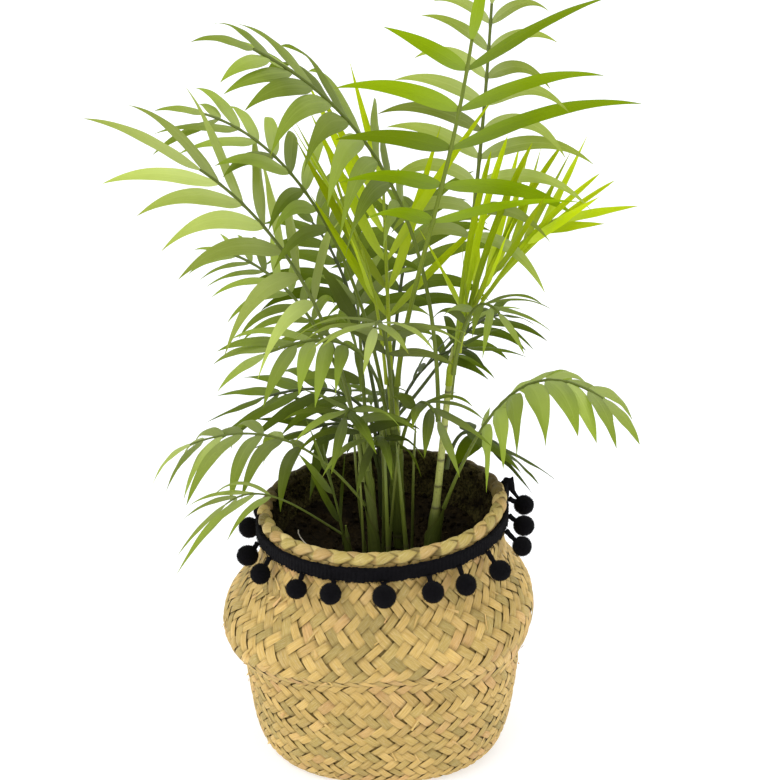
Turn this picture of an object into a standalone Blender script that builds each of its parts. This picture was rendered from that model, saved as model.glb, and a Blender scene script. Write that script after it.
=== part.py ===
"""Parlour palm in its nursery pot, standing in a woven belly basket with a pompom trim. Metres, +Z up.

The origin is the centre of the basket's base. X runs to the right of the front view and Y away from it.
"""

import math
from collections import namedtuple

import bmesh
import bpy
import numpy as np
from mathutils import Matrix, Vector

OBJECT_NAME = "indoor_palm_in_basket"
GAP = 0.0003                # left between pieces that touch

# Basket: outside radius and height from the base up to the mouth
BASKET_OUTSIDE = (
    (0.0820, 0.0000), (0.0900, 0.0025), (0.0970, 0.0100), (0.1020, 0.0260), (0.1055, 0.0500),
    (0.1075, 0.0680), (0.1075, 0.0800), (0.1110, 0.0880), (0.1180, 0.0980), (0.1210, 0.1070),
    (0.1190, 0.1160), (0.1140, 0.1240), (0.1070, 0.1320), (0.1000, 0.1410), (0.0955, 0.1500),
    (0.0930, 0.1610), (0.0918, 0.1840),
)
BASKET_WALL = 0.0045
BASKET_FLOOR = 0.0050
BASKET_INSIDE_ROWS = (0, 2, 4, 6, 9, 12, 14, 16)
BASKET_STEPS = 36
SHARP_ANGLE = 40.0          # edges of the basket steeper than this stay sharp
BASE_SQUARE = 0.02          # share of the radius that the lower half is squared by
CREASE_DROP = 0.0070        # how far the pushed-in crease dips at the front and back
CREASE_HEIGHT = 0.0860
CREASE_REACH = 0.0200
BELLY_SHIFT = -0.0030       # the belly bulges to the left
BELLY_HEIGHT = 0.1100
BELLY_REACH = 0.0260
LEAN = 0.06                 # rise of the upper half towards +X
LEAN_FROM, LEAN_TO = 0.072, 0.112
SQUARE_FROM, SQUARE_TO = 0.090, 0.150

# Plaited rim along the mouth
RIM_RADIUS = 0.0883
RIM_HEIGHT = 0.1902
RIM_TUBE = 0.0050
RIM_LOBES = 20
RIM_RELIEF = 0.0005
RIM_SEGMENTS = 60
RIM_SIDES = 6

# Black knitted band under the rim, with a loose end that stands up
BAND_INSIDE = 0.0928
BAND_THICKNESS = 0.0022
BAND_LOW, BAND_HIGH = 0.1740, 0.1836
BAND_STEPS = 50
TAIL_BEARING = 14.0
TAIL_SPREAD = 5.0
TAIL_OUT = 0.0046
TAIL_TOP = 0.2000
TAIL_RAISE = 0.0040         # how far the band's lower edge rises at its loose end

# Pompoms: bearing in degrees, reach of the centre from the axis, height of the centre
POMPOMS = (
    (-166, 0.1035, 0.167), (-150, 0.1035, 0.165), (-127, 0.1030, 0.167), (-111, 0.1030, 0.169),
    (-89, 0.1030, 0.168), (-69, 0.1030, 0.166), (-54, 0.1040, 0.164), (-36, 0.1070, 0.163),
    (-15, 0.1080, 0.164), (0, 0.1070, 0.167), (13, 0.1110, 0.172), (31, 0.1040, 0.167),
    (48, 0.1035, 0.166), (66, 0.1030, 0.168), (84, 0.1035, 0.166), (102, 0.1030, 0.167),
    (120, 0.1035, 0.168), (138, 0.1030, 0.166), (153, 0.1030, 0.168), (168, 0.1040, 0.167),
)
POMPOM_RADIUS = 0.0083
POMPOM_STALK = 0.0017
POMPOM_STALK_SIDES = 5
POMPOM_SINK = 0.0040
POMPOM_ROOT = 0.0022        # height of the stalk's end above the band's lower edge

# Nursery pot inside the basket
POT_BASE_RADIUS = 0.0620
POT_TOP_RADIUS = 0.0812
POT_TOP = 0.1700
POT_WALL = 0.0012
POT_LIP = 0.0026
POT_LIP_HEIGHT = 0.0050
POT_STEPS = 28
DRAIN_RADIUS = 0.0045
DRAIN_CIRCLE = 0.0400
DRAINS = 4

# Potting soil: dished, so that it rises towards the pot's wall
SOIL_MIDDLE = 0.1480
SOIL_EDGE = 0.1660
SOIL_LUMP = 0.0012
SOIL_RISE_FROM, SOIL_RISE_TO = 0.020, 0.076
SOIL_ROWS = 6
STEM_FOOT = 0.1180

# Stems: foot (x, y), top (x, y), top height, radius at the foot, radius at the top
Stem = namedtuple("Stem", "foot top height foot_radius top_radius")
STEMS = {
    "stem_cane": Stem((0.034, -0.006), (0.052, 0.004), 0.318, 0.0052, 0.0032),
    "stem_middle": Stem((0.014, 0.016), (0.008, 0.012), 0.296, 0.0044, 0.0034),
    "stem_left": Stem((-0.003, -0.018), (-0.011, -0.005), 0.246, 0.0038, 0.0028),
    "stem_seedling": Stem((-0.022, -0.012), (-0.027, -0.017), 0.182, 0.0028, 0.0022),
    "stem_back": Stem((0.004, 0.042), (0.000, 0.052), 0.240, 0.0038, 0.0028),
    "shoot_middle": Stem((0.0060, -0.034), (0.0020, -0.031), 0.256, 0.0022, 0.0008),
    "shoot_right": Stem((0.0225, -0.030), (0.0105, -0.029), 0.256, 0.0024, 0.0008),
}
STEM_RINGS = 3
HOLE_SIDES = 16
HOLE_PLAY = 0.0004

# Fronds. Each leaf stalk is one smooth curve in the upright plane that its heading names, measured from the
# stem's own axis: it starts on the stem at the foot height and passes towards three (reach, height) points.
# heading and roll are degrees, bare is the share of the stalk below the leaflets, pairs counts the leaflet
# pairs, length and width are the largest leaflet's, angles are the leaflets' to the stalk at the lowest and
# the highest pair, taper shortens the leaflets towards the tip, rise lifts them, and droop bends them down.
# uneven, where it is given, is how much longer the leaflets on the heading's left are than the mean.
FROND_VALUES = "stem heading roll foot points bare pairs length width angles taper rise droop tone uneven"
Frond = namedtuple("Frond", FROND_VALUES, defaults=(0.0,))
FRONDS = {
    "frond_top_left": Frond(
        "stem_cane", 200, -28, 0.260, ((0.015, 0.355), (0.045, 0.485), (0.170, 0.555)),
        0.50, 9, 0.096, 0.0135, (64, 26), 0.40, 2, 1.35, "mid"),
    "frond_far_left": Frond(
        "stem_left", 188, -25, 0.215, ((0.007, 0.300), (0.034, 0.400), (0.106, 0.455)),
        0.50, 6, 0.112, 0.0126, (62, 26), 0.00, 6, 0.90, "pale"),
    "frond_upper_left": Frond(
        "stem_middle", 155, -18, 0.240, ((0.010, 0.325), (0.045, 0.460), (0.145, 0.475)),
        0.55, 8, 0.080, 0.0110, (62, 26), 0.30, 2, 1.10, "mid"),
    "frond_top_back": Frond(
        "stem_cane", 62, 0, 0.275, ((0.007, 0.340), (0.020, 0.430), (0.005, 0.570)),
        0.40, 9, 0.090, 0.0092, (76, 46), 0.35, 12, 1.15, "pale", -0.06),
    "frond_top_front": Frond(
        "stem_middle", 308, -12, 0.285, ((0.015, 0.355), (0.070, 0.450), (0.100, 0.570)),
        0.47, 5, 0.114, 0.0112, (80, 56), 0.10, 8, 0.55, "mid", 0.20),
    "frond_low_right": Frond(
        "stem_cane", 345, 5, 0.190, ((0.030, 0.285), (0.060, 0.320), (0.115, 0.290)),
        0.38, 7, 0.066, 0.0120, (70, 34), 0.15, 6, 2.80, "mid"),
    "frond_small_right": Frond(
        "stem_cane", 28, 10, 0.220, ((0.010, 0.260), (0.025, 0.250), (0.055, 0.225)),
        0.40, 3, 0.062, 0.0125, (50, 30), 0.00, 0, 0.80, "dark"),
    "frond_low_left": Frond(
        "stem_left", 172, -12, 0.195, ((0.030, 0.230), (0.065, 0.265), (0.135, 0.235)),
        0.40, 6, 0.068, 0.0108, (64, 34), 0.10, 6, 3.60, "mid"),
    "frond_lowest_left": Frond(
        "stem_seedling", 195, -15, 0.175, ((0.032, 0.200), (0.060, 0.232), (0.088, 0.212)),
        0.62, 3, 0.066, 0.0060, (40, 16), 0.00, 0, 0.90, "mid", 0.10),
    "frond_thin_left": Frond(
        "stem_left", 145, -15, 0.236, ((0.018, 0.300), (0.045, 0.360), (0.120, 0.365)),
        0.45, 8, 0.060, 0.0070, (60, 28), 0.30, 4, 1.00, "mid"),
    "frond_mid_left": Frond(
        "stem_middle", 215, -15, 0.245, ((0.010, 0.320), (0.045, 0.345), (0.110, 0.335)),
        0.35, 7, 0.062, 0.0112, (66, 36), 0.10, 2, 1.30, "mid"),
    "frond_inner_left": Frond(
        "stem_back", 165, -15, 0.215, ((0.007, 0.255), (0.035, 0.270), (0.095, 0.245)),
        0.35, 4, 0.075, 0.0120, (52, 34), 0.00, 0, 0.55, "dark"),
    "frond_seedling": Frond(
        "stem_seedling", 132, 25, 0.164, ((0.005, 0.184), (0.009, 0.204), (0.016, 0.222)),
        0.22, 2, 0.064, 0.0100, (26, 14), 0.00, 0, 0.15, "mid"),
    "frond_young_middle": Frond(
        "stem_middle", 105, 0, 0.290, ((0.007, 0.335), (0.008, 0.385), (0.008, 0.440)),
        0.27, 5, 0.146, 0.0076, (38, 16), 0.20, 0, 0.06, "young"),
    "frond_young_right": Frond(
        "stem_cane", 350, 25, 0.314, ((0.006, 0.345), (0.020, 0.385), (0.062, 0.418)),
        0.16, 7, 0.104, 0.0078, (46, 16), 0.20, 36, 0.05, "young"),
    "frond_inner_back": Frond(
        "stem_back", 75, 0, 0.235, ((0.055, 0.290), (0.065, 0.350), (0.130, 0.365)),
        0.45, 7, 0.085, 0.0115, (66, 30), 0.20, 4, 1.00, "dark"),
    "frond_back_right": Frond(
        "stem_back", 40, 10, 0.230, ((0.060, 0.260), (0.085, 0.300), (0.125, 0.290)),
        0.50, 5, 0.055, 0.0080, (60, 28), 0.10, 4, 1.10, "dark"),
    "frond_back_left": Frond(
        "stem_back", 122, -10, 0.228, ((0.015, 0.290), (0.045, 0.350), (0.095, 0.365)),
        0.45, 6, 0.075, 0.0115, (66, 36), 0.20, 4, 1.00, "dark"),
    "frond_front_left": Frond(
        "stem_left", 255, 0, 0.225, ((0.007, 0.260), (0.030, 0.295), (0.050, 0.285)),
        0.35, 4, 0.060, 0.0115, (60, 28), 0.00, 0, 0.90, "mid"),
    "frond_front_right": Frond(
        "stem_middle", 300, 0, 0.230, ((0.025, 0.280), (0.045, 0.300), (0.065, 0.280)),
        0.35, 4, 0.055, 0.0105, (60, 28), 0.00, 0, 0.90, "mid"),
    "frond_short_left": Frond(
        "stem_back", 192, -10, 0.200, ((0.010, 0.230), (0.025, 0.245), (0.055, 0.235)),
        0.35, 3, 0.070, 0.0115, (54, 38), 0.00, 0, 0.40, "dark"),
    "frond_young_left": Frond(
        "stem_middle", 188, -20, 0.285, ((0.007, 0.335), (0.014, 0.390), (0.031, 0.425)),
        0.45, 4, 0.105, 0.0080, (30, 14), 0.00, 10, 0.05, "young"),
    "frond_middle_left": Frond(
        "stem_left", 92, 0, 0.222, ((0.007, 0.280), (0.015, 0.330), (0.055, 0.340)),
        0.42, 4, 0.070, 0.0115, (64, 38), 0.00, 0, 1.00, "mid"),
    "frond_middle_front": Frond(
        "stem_middle", 262, 0, 0.250, ((0.010, 0.310), (0.035, 0.365), (0.075, 0.360)),
        0.45, 5, 0.070, 0.0110, (64, 30), 0.10, 4, 0.90, "pale"),
    "frond_inner_right": Frond(
        "stem_back", 340, 10, 0.225, ((0.020, 0.270), (0.040, 0.300), (0.070, 0.305)),
        0.42, 4, 0.060, 0.0082, (60, 36), 0.00, 4, 0.90, "dark"),
    "frond_right_arch": Frond(
        "stem_cane", 300, 10, 0.298, ((0.007, 0.340), (0.022, 0.372), (0.055, 0.362)),
        0.42, 4, 0.056, 0.0068, (62, 28), 0.10, 4, 0.90, "mid"),
    "frond_low_front": Frond(
        "stem_middle", 250, 0, 0.203, ((0.010, 0.240), (0.028, 0.262), (0.046, 0.256)),
        0.42, 3, 0.056, 0.0100, (52, 26), 0.00, 0, 1.60, "mid"),
    "frond_low_back": Frond(
        "stem_back", 95, 0, 0.200, ((0.022, 0.225), (0.060, 0.242), (0.100, 0.218)),
        0.42, 5, 0.052, 0.0095, (60, 30), 0.10, 6, 1.10, "dark"),
}
STALK_WIDTH_FOOT, STALK_WIDTH_TIP = 0.0034, 0.0020
STALK_THICKNESS = 0.0026
STALK_THIN = 0.60           # thickness at the tip, as a share of that at the foot
LEAFLET_THICKNESS = 0.0008
FLARE_ANGLE = 34.0          # a leaflet leaves its stalk at this angle or more, then bends to its own
FLARE_REACH = 0.0120
DROOP_LOW, DROOP_HIGH = 1.45, 0.60     # share of a frond's droop at its lowest and its highest leaflets
DROOP_POWER = 1.45          # the lower it is, the nearer the root a leaflet bends
LEAFLET_STATIONS = 13
LONG_LEAFLET = 0.076
LONG_ROWS, SHORT_ROWS = (2, 5, 9, 12), (3, 8, 12)
STEM_CLEAR = 0.0042         # least distance from a leaflet's points to other stalks, stems and leaflets
OWN_CLEAR = 0.0034          # the same within one frond

BLACK = (0.012, 0.012, 0.014, 1.0)
COLOURS = {
    "seagrass": (0.56, 0.40, 0.17, 1.0),
    "seagrass_rim": (0.66, 0.50, 0.24, 1.0),
    "cotton": BLACK,
    "pot_plastic": (0.02, 0.02, 0.02, 1.0),
    "soil": (0.045, 0.028, 0.016, 1.0),
    "stem": (0.24, 0.30, 0.10, 1.0),
    "pale": (0.22, 0.33, 0.12, 1.0),
    "mid": (0.11, 0.24, 0.04, 1.0),
    "dark": (0.05, 0.13, 0.02, 1.0),
    "young": (0.38, 0.55, 0.05, 1.0),
}
ROUGHNESS = {"cotton": 0.95, "soil": 0.95, "seagrass": 0.7, "seagrass_rim": 0.65, "pot_plastic": 0.5}
LEAF_ROUGHNESS = 0.45


def clear_scene():
    for old in list(bpy.data.objects):
        bpy.data.objects.remove(old, do_unlink=True)


def make_collection(name):
    made = bpy.data.collections.new(name)
    bpy.context.scene.collection.children.link(made)
    return made


def make_material(name, tone):
    """One Principled material for one piece."""
    made = bpy.data.materials.new(name)
    made.use_nodes = True
    shader = made.node_tree.nodes["Principled BSDF"]
    shader.inputs["Base Color"].default_value = COLOURS[tone]
    shader.inputs["Roughness"].default_value = ROUGHNESS.get(tone, LEAF_ROUGHNESS)
    shader.inputs["Metallic"].default_value = 0.0
    return made


def add_object(name, mesh, collection, tone):
    made = bpy.data.objects.new(name, mesh)
    collection.objects.link(made)
    if not mesh.materials:
        mesh.materials.append(make_material(name, tone))
    return made


def smooth_step(value, low, high):
    share = min(max((value - low) / (high - low), 0.0), 1.0)
    return share * share * (3 - 2 * share)


def basket_point(radius, height, angle):
    """A point of the basket's wall: a turned profile, squared low down, creased, bulged and leant a little."""
    squared = BASE_SQUARE * (1 - smooth_step(height, SQUARE_FROM, SQUARE_TO))
    reach = radius * (1 - squared * math.cos(4 * angle))
    bulge = BELLY_SHIFT * math.exp(-(((height - BELLY_HEIGHT) / BELLY_REACH) ** 2))
    crease = CREASE_DROP * math.exp(-(((height - CREASE_HEIGHT) / CREASE_REACH) ** 2))
    x = reach * math.cos(angle) + bulge
    y = reach * math.sin(angle)
    lean = LEAN * x * smooth_step(height, LEAN_FROM, LEAN_TO)
    return Vector((x, y, height - crease * math.cos(2 * angle) + lean))


def turned_mesh(name, profile, steps):
    """The mesh that a Screw makes of a profile, which runs from the axis up the inside and down the outside."""
    line = bpy.data.meshes.new(name)
    points = [(radius, 0.0, height) for radius, height in profile]
    edges = [(i, i + 1) for i in range(len(points) - 1)]
    line.from_pydata(points, edges, [])
    source = bpy.data.objects.new(name, line)
    bpy.context.scene.collection.objects.link(source)
    screw = source.modifiers.new("Turn", "SCREW")
    screw.axis = "Z"
    screw.steps = steps
    screw.render_steps = steps
    screw.use_merge_vertices = True
    screw.merge_threshold = 0.00005
    bpy.context.view_layer.update()
    graph = bpy.context.evaluated_depsgraph_get()
    made = bpy.data.meshes.new_from_object(source.evaluated_get(graph))
    bpy.data.objects.remove(source, do_unlink=True)
    bpy.data.meshes.remove(line)
    return made


def bend_mesh(mesh, rule):
    """Moves each vertex of a turned mesh to where the rule puts its radius, height and angle."""
    for vertex in mesh.vertices:
        x, y, z = vertex.co
        vertex.co = rule(math.hypot(x, y), z, math.atan2(y, x))


def make_basket(collection):
    inside = [(0.0, BASKET_FLOOR)]
    for row in BASKET_INSIDE_ROWS:
        radius, height = BASKET_OUTSIDE[row]
        inside.append((radius - BASKET_WALL, max(height, BASKET_FLOOR)))
    outside = list(reversed(BASKET_OUTSIDE)) + [(0.0, 0.0)]
    mesh = turned_mesh("basket", inside + outside, BASKET_STEPS)
    bend_mesh(mesh, basket_point)
    made = add_object("basket", mesh, collection, "seagrass")
    mesh.shade_smooth()
    mesh.set_sharp_from_angle(angle=math.radians(SHARP_ANGLE))
    return made


def make_rim(collection):
    """The plaited rim: a ring with low lobes that wind round it."""
    bm = bmesh.new()
    for i in range(RIM_SEGMENTS):
        around = 2 * math.pi * i / RIM_SEGMENTS
        for j in range(RIM_SIDES):
            across = 2 * math.pi * (j + 0.5) / RIM_SIDES
            tube = RIM_TUBE + RIM_RELIEF * math.cos(RIM_LOBES * around + across)
            radius = RIM_RADIUS + tube * math.cos(across)
            bm.verts.new(basket_point(radius, RIM_HEIGHT + tube * math.sin(across), around))
    bm.verts.ensure_lookup_table()
    for i in range(RIM_SEGMENTS):
        here, there = i * RIM_SIDES, (i + 1) % RIM_SEGMENTS * RIM_SIDES
        for j in range(RIM_SIDES):
            k = (j + 1) % RIM_SIDES
            bm.faces.new([bm.verts[n] for n in (here + j, there + j, there + k, here + k)])
    mesh = bpy.data.meshes.new("braided_rim")
    bm.to_mesh(mesh)
    bm.free()
    mesh.shade_smooth()
    return add_object("braided_rim", mesh, collection, "seagrass_rim")


def tail_share(angle):
    """How much of the loose end's height and offset the band has at this bearing."""
    away = abs(math.degrees(angle) - TAIL_BEARING)
    return max(0.0, 1.0 - away / TAIL_SPREAD)


def make_band(collection):
    """The band is an upright ring under the rim. At its loose end it stands up outside the rim."""
    bm = bmesh.new()
    corners = ((0, 0), (1, 0), (1, 1), (0, 1))
    step = 2 * math.pi / BAND_STEPS
    angles = [i * step for i in range(BAND_STEPS)]
    tail = math.radians(TAIL_BEARING)
    spread = math.radians(TAIL_SPREAD)
    angles = [angle for angle in angles if abs(angle - tail) > 1.3 * spread]
    angles += [tail - spread, tail - spread / 2, tail, tail + spread / 2, tail + spread]
    angles.sort()
    for angle in angles:
        up = tail_share(angle)
        low = BAND_LOW + up * TAIL_RAISE
        high = BAND_HIGH + min(1.0, 2 * up) * (TAIL_TOP - BAND_HIGH)
        for outward, upward in corners:
            radius = BAND_INSIDE + up * TAIL_OUT + outward * BAND_THICKNESS
            bm.verts.new(basket_point(radius, high if upward else low, angle))
    bm.verts.ensure_lookup_table()
    for i in range(len(angles)):
        here, there = 4 * i, 4 * ((i + 1) % len(angles))
        for j in range(4):
            k = (j + 1) % 4
            bm.faces.new([bm.verts[n] for n in (here + j, here + k, there + k, there + j)])
    bmesh.ops.recalc_face_normals(bm, faces=bm.faces)
    bmesh.ops.triangulate(bm, faces=bm.faces)
    mesh = bpy.data.meshes.new("trim_band")
    bm.to_mesh(mesh)
    bm.free()
    return add_object("trim_band", mesh, collection, "cotton")


def make_pompom(name, bearing, reach, height, collection):
    """A ball on a short stalk that starts at the band's outer face."""
    angle = math.radians(bearing)
    centre = basket_point(reach, height, angle)
    root_radius = BAND_INSIDE + BAND_THICKNESS + GAP + POMPOM_STALK * 0.8 + TAIL_OUT * tail_share(angle)
    root = basket_point(root_radius, BAND_LOW + POMPOM_ROOT + TAIL_RAISE * tail_share(angle), angle)
    bm = bmesh.new()
    bmesh.ops.create_icosphere(bm, subdivisions=2, radius=POMPOM_RADIUS, matrix=Matrix.Translation(centre))
    mesh = bpy.data.meshes.new(name)
    bm.to_mesh(mesh)
    bm.free()
    made = add_object(name, mesh, collection, "cotton")
    stalk = bmesh.new()
    inner = centre + (root - centre).normalized() * (POMPOM_RADIUS - POMPOM_SINK)
    along = root - inner
    turn = along.to_track_quat("Z", "Y").to_matrix().to_4x4()
    bmesh.ops.create_cone(
        stalk, cap_ends=True, segments=POMPOM_STALK_SIDES, radius1=POMPOM_STALK, radius2=POMPOM_STALK,
        depth=along.length, matrix=Matrix.Translation((root + inner) / 2) @ turn)
    join_solid(made, stalk, "UNION")
    return made


def join_solid(target, bm, operation):
    """Applies one Boolean of a helper solid on the target's mesh and removes the helper."""
    helper_mesh = bpy.data.meshes.new("helper")
    bm.to_mesh(helper_mesh)
    bm.free()
    helper = bpy.data.objects.new("helper", helper_mesh)
    helper.hide_render = True
    helper.display_type = "WIRE"
    bpy.context.scene.collection.objects.link(helper)
    boolean = target.modifiers.new("Join", "BOOLEAN")
    boolean.operation = operation
    boolean.object = helper
    bpy.context.view_layer.update()
    graph = bpy.context.evaluated_depsgraph_get()
    made = bpy.data.meshes.new_from_object(target.evaluated_get(graph))
    old = target.data
    target.modifiers.remove(boolean)
    target.data = made
    made.name = old.name
    bpy.data.meshes.remove(old)
    bpy.data.objects.remove(helper, do_unlink=True)
    bpy.data.meshes.remove(helper_mesh)


def pot_radius(height):
    """Outside radius of the nursery pot's tapered wall."""
    share = (height - BASKET_FLOOR) / (POT_TOP - BASKET_FLOOR)
    return POT_BASE_RADIUS + (POT_TOP_RADIUS - POT_BASE_RADIUS) * share


def make_pot(collection):
    low = BASKET_FLOOR + GAP
    floor = low + POT_WALL
    lip_low = POT_TOP - POT_LIP_HEIGHT
    profile = [
        (0.0, floor),
        (pot_radius(floor) - POT_WALL, floor),
        (pot_radius(POT_TOP) - POT_WALL, POT_TOP),
        (pot_radius(POT_TOP) + POT_LIP, POT_TOP),
        (pot_radius(POT_TOP) + POT_LIP, lip_low),
        (pot_radius(lip_low), lip_low),
        (pot_radius(low), low),
        (0.0, low),
    ]
    made = add_object("nursery_pot", turned_mesh("nursery_pot", profile, POT_STEPS), collection, "pot_plastic")
    drains = bmesh.new()
    for i in range(DRAINS):
        angle = 2 * math.pi * (i + 0.5) / DRAINS
        place = Matrix.Translation((DRAIN_CIRCLE * math.cos(angle), DRAIN_CIRCLE * math.sin(angle), low))
        bmesh.ops.create_cone(
            drains, cap_ends=True, segments=10, radius1=DRAIN_RADIUS, radius2=DRAIN_RADIUS,
            depth=8 * POT_WALL, matrix=place)
    join_solid(made, drains, "DIFFERENCE")
    return made


def soil_height(x, y):
    """The soil's surface: a dish with low lumps."""
    radius = math.hypot(x, y)
    dish = SOIL_MIDDLE + (SOIL_EDGE - SOIL_MIDDLE) * smooth_step(radius, SOIL_RISE_FROM, SOIL_RISE_TO)
    lumps = math.sin(190 * x + 1.0) * math.sin(170 * y + 0.4) + 0.6 * math.sin(310 * x - 260 * y)
    return dish + SOIL_LUMP * lumps * (1 - smooth_step(radius, 0.066, 0.078))


def make_soil(collection):
    low = BASKET_FLOOR + GAP + POT_WALL + GAP
    inner = POT_WALL + GAP
    edge = pot_radius(SOIL_EDGE) - inner
    profile = [(edge * row / SOIL_ROWS, SOIL_MIDDLE) for row in range(SOIL_ROWS)]
    profile += [
        (edge, SOIL_EDGE),
        (pot_radius(low) - inner, low),
        (0.0, low),
    ]
    mesh = turned_mesh("soil", profile, POT_STEPS)
    for vertex in mesh.vertices:
        x, y, z = vertex.co
        if math.isclose(z, SOIL_MIDDLE, abs_tol=GAP):
            vertex.co.z = soil_height(x, y)
    made = add_object("soil", mesh, collection, "soil")
    for stem in STEMS.values():
        hole = bmesh.new()
        start = stem_axis(stem, STEM_FOOT - GAP)
        end = stem_axis(stem, SOIL_EDGE + 0.010)
        along = end - start
        radius = stem.foot_radius + HOLE_PLAY
        turn = along.to_track_quat("Z", "Y").to_matrix().to_4x4()
        bmesh.ops.create_cone(
            hole, cap_ends=True, segments=HOLE_SIDES, radius1=radius, radius2=radius, depth=along.length,
            matrix=Matrix.Translation((start + end) / 2) @ turn)
        join_solid(made, hole, "DIFFERENCE")
    return made


def stem_share(stem, height):
    return (height - STEM_FOOT) / (stem.height - STEM_FOOT)


def stem_axis(stem, height):
    """The point of the stem's straight axis at a height, also above its top."""
    share = stem_share(stem, height)
    x = stem.foot[0] + (stem.top[0] - stem.foot[0]) * share
    y = stem.foot[1] + (stem.top[1] - stem.foot[1]) * share
    return Vector((x, y, height))


def stem_radius(stem, height):
    share = min(max(stem_share(stem, height), 0.0), 1.0)
    return stem.foot_radius + (stem.top_radius - stem.foot_radius) * share


def make_stem(name, stem, collection):
    """A tapered tube along the stem's axis."""
    curve = bpy.data.curves.new(name, "CURVE")
    curve.dimensions = "3D"
    curve.bevel_depth = 1.0
    curve.bevel_resolution = 2
    curve.use_fill_caps = True
    spline = curve.splines.new("POLY")
    spline.points.add(STEM_RINGS - 1)
    for i, point in enumerate(spline.points):
        height = STEM_FOOT + (stem.height - STEM_FOOT) * i / (STEM_RINGS - 1)
        point.co = (*stem_axis(stem, height), 1.0)
        point.radius = stem_radius(stem, height)
    return add_object(name, curve, collection, "stem")


def unit(vector):
    return vector / np.linalg.norm(vector)


class Stalk:
    """The centre line of a frond's leaf stalk, read by its share of the whole length from foot to tip."""

    def __init__(self, frond):
        self.frond = frond
        stem = STEMS[frond.stem]
        heading = math.radians(frond.heading)
        self.out = np.array([math.cos(heading), math.sin(heading), 0.0])
        self.side = np.array([-math.sin(heading), math.cos(heading), 0.0])
        surface = stem_radius(stem, frond.foot) + GAP
        first_reach, first_height = frond.points[0]
        slope = math.atan2(first_height - frond.foot, first_reach - surface)
        start = surface + STALK_THICKNESS / 2 * math.sin(slope)
        corners = []
        for reach, height in ((start, frond.foot), *frond.points):
            corners.append(np.array(stem_axis(stem, height)) + reach * self.out)
        t = np.linspace(0, 1, 201)[:, None]
        first, second, third, last = corners
        self.line = (1 - t) ** 3 * first + 3 * (1 - t) ** 2 * t * second
        self.line += 3 * (1 - t) * t ** 2 * third + t ** 3 * last
        steps = np.linalg.norm(np.diff(self.line, axis=0), axis=1)
        lengths = np.concatenate([[0.0], np.cumsum(steps)])
        self.length = lengths[-1]
        self.shares = lengths / self.length

    def at(self, share):
        return np.array([np.interp(share, self.shares, self.line[:, axis]) for axis in range(3)])

    def points(self, count):
        return np.array([self.at(share) for share in np.linspace(0, 1, count)])

    def frame(self, share):
        """Along the stalk, across its blade and out of its upper face. The blade rolls over the bare stretch."""
        along = unit(self.at(min(share + 0.01, 1.0)) - self.at(max(share - 0.01, 0.0)))
        up = unit(np.cross(along, self.side))
        roll = math.radians(self.frond.roll) * min(share / self.frond.bare, 1.0)
        across = math.cos(roll) * self.side + math.sin(roll) * up
        return along, across, np.cross(along, across)

    def width(self, share):
        return STALK_WIDTH_FOOT + (STALK_WIDTH_TIP - STALK_WIDTH_FOOT) * share


class Leaflet:
    """One leaflet: its centre line, the direction across it and its half width at each station."""

    def __init__(self, stalk, share, side, chance, swing=0.0, lift=0.0, sag=0.0, scale=1.0):
        frond = stalk.frond
        along, across, normal = stalk.frame(share)
        place = (share - frond.bare) / (1 - frond.bare)
        low, high = frond.angles
        angle = 0.0 if side == 0 else (low + (high - low) * place) * (1 + 0.11 * chance[0])
        rise = 0.0 if side == 0 else frond.rise + 0.18 * angle * chance[1]
        angle = math.radians(angle + swing)
        rise = math.radians(rise + lift)
        sideways = side if side else 1
        outward = sideways * math.cos(rise) * across + math.sin(rise) * normal
        swell = math.sin(math.pi * min(place, 1.0))
        length = frond.length * (1 + frond.uneven * side) * (0.8 + 0.2 * swell) * (1 - frond.taper * place ** 2)
        self.length = length * (1 + 0.12 * chance[2]) * scale
        self.side = side
        self.share = share
        self.root = 0.45 * frond.width * (1 - 0.5 * frond.taper * place ** 2)
        u = (np.arange(LEAFLET_STATIONS) / (LEAFLET_STATIONS - 1)) ** 1.2
        flare = max(0.0, math.radians(FLARE_ANGLE) - abs(angle)) if side else 0.0
        middles = np.concatenate([[0.0], (u[1:] + u[:-1]) / 2])
        droop = frond.droop * (DROOP_LOW + (DROOP_HIGH - DROOP_LOW) * place) * (1 + 0.4 * chance[3])
        points = [stalk.at(share) + side * across * 0.001]
        directions = []
        for i, middle in enumerate(middles):
            bent = angle + flare * math.exp(-middle * self.length / FLARE_REACH)
            toward = math.cos(bent) * along + math.sin(bent) * outward
            toward = unit(toward + (droop + sag) * middle ** DROOP_POWER * np.array([0.0, 0.0, -1.0]))
            directions.append(toward)
            if i:
                points.append(points[-1] + toward * self.length * (u[i] - u[i - 1]))
        self.points = np.array(points)
        directions = np.array(directions)
        normals = normal - (directions @ normal)[:, None] * directions
        normals /= np.linalg.norm(normals, axis=1)[:, None]
        self.across = np.cross(directions, normals)
        shape = np.sin(np.pi * (0.04 + 0.96 * u) ** 0.62).clip(0) ** 0.9
        width = frond.width * (0.8 + 0.2 * swell) * (1 - 0.7 * frond.taper * place ** 2)
        self.half = 0.5 * width * shape

    def samples(self, first=0):
        """Points over the blade from one station on, at the stations and halfway between them."""
        points = self.points[first:]
        edges = (self.across * self.half[:, None])[first:]
        points = np.concatenate([points, (points[1:] + points[:-1]) / 2])
        edges = np.concatenate([edges, (edges[1:] + edges[:-1]) / 2])
        return np.concatenate([points + share * edges for share in (-1, -0.33, 0.33, 1)])


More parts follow.
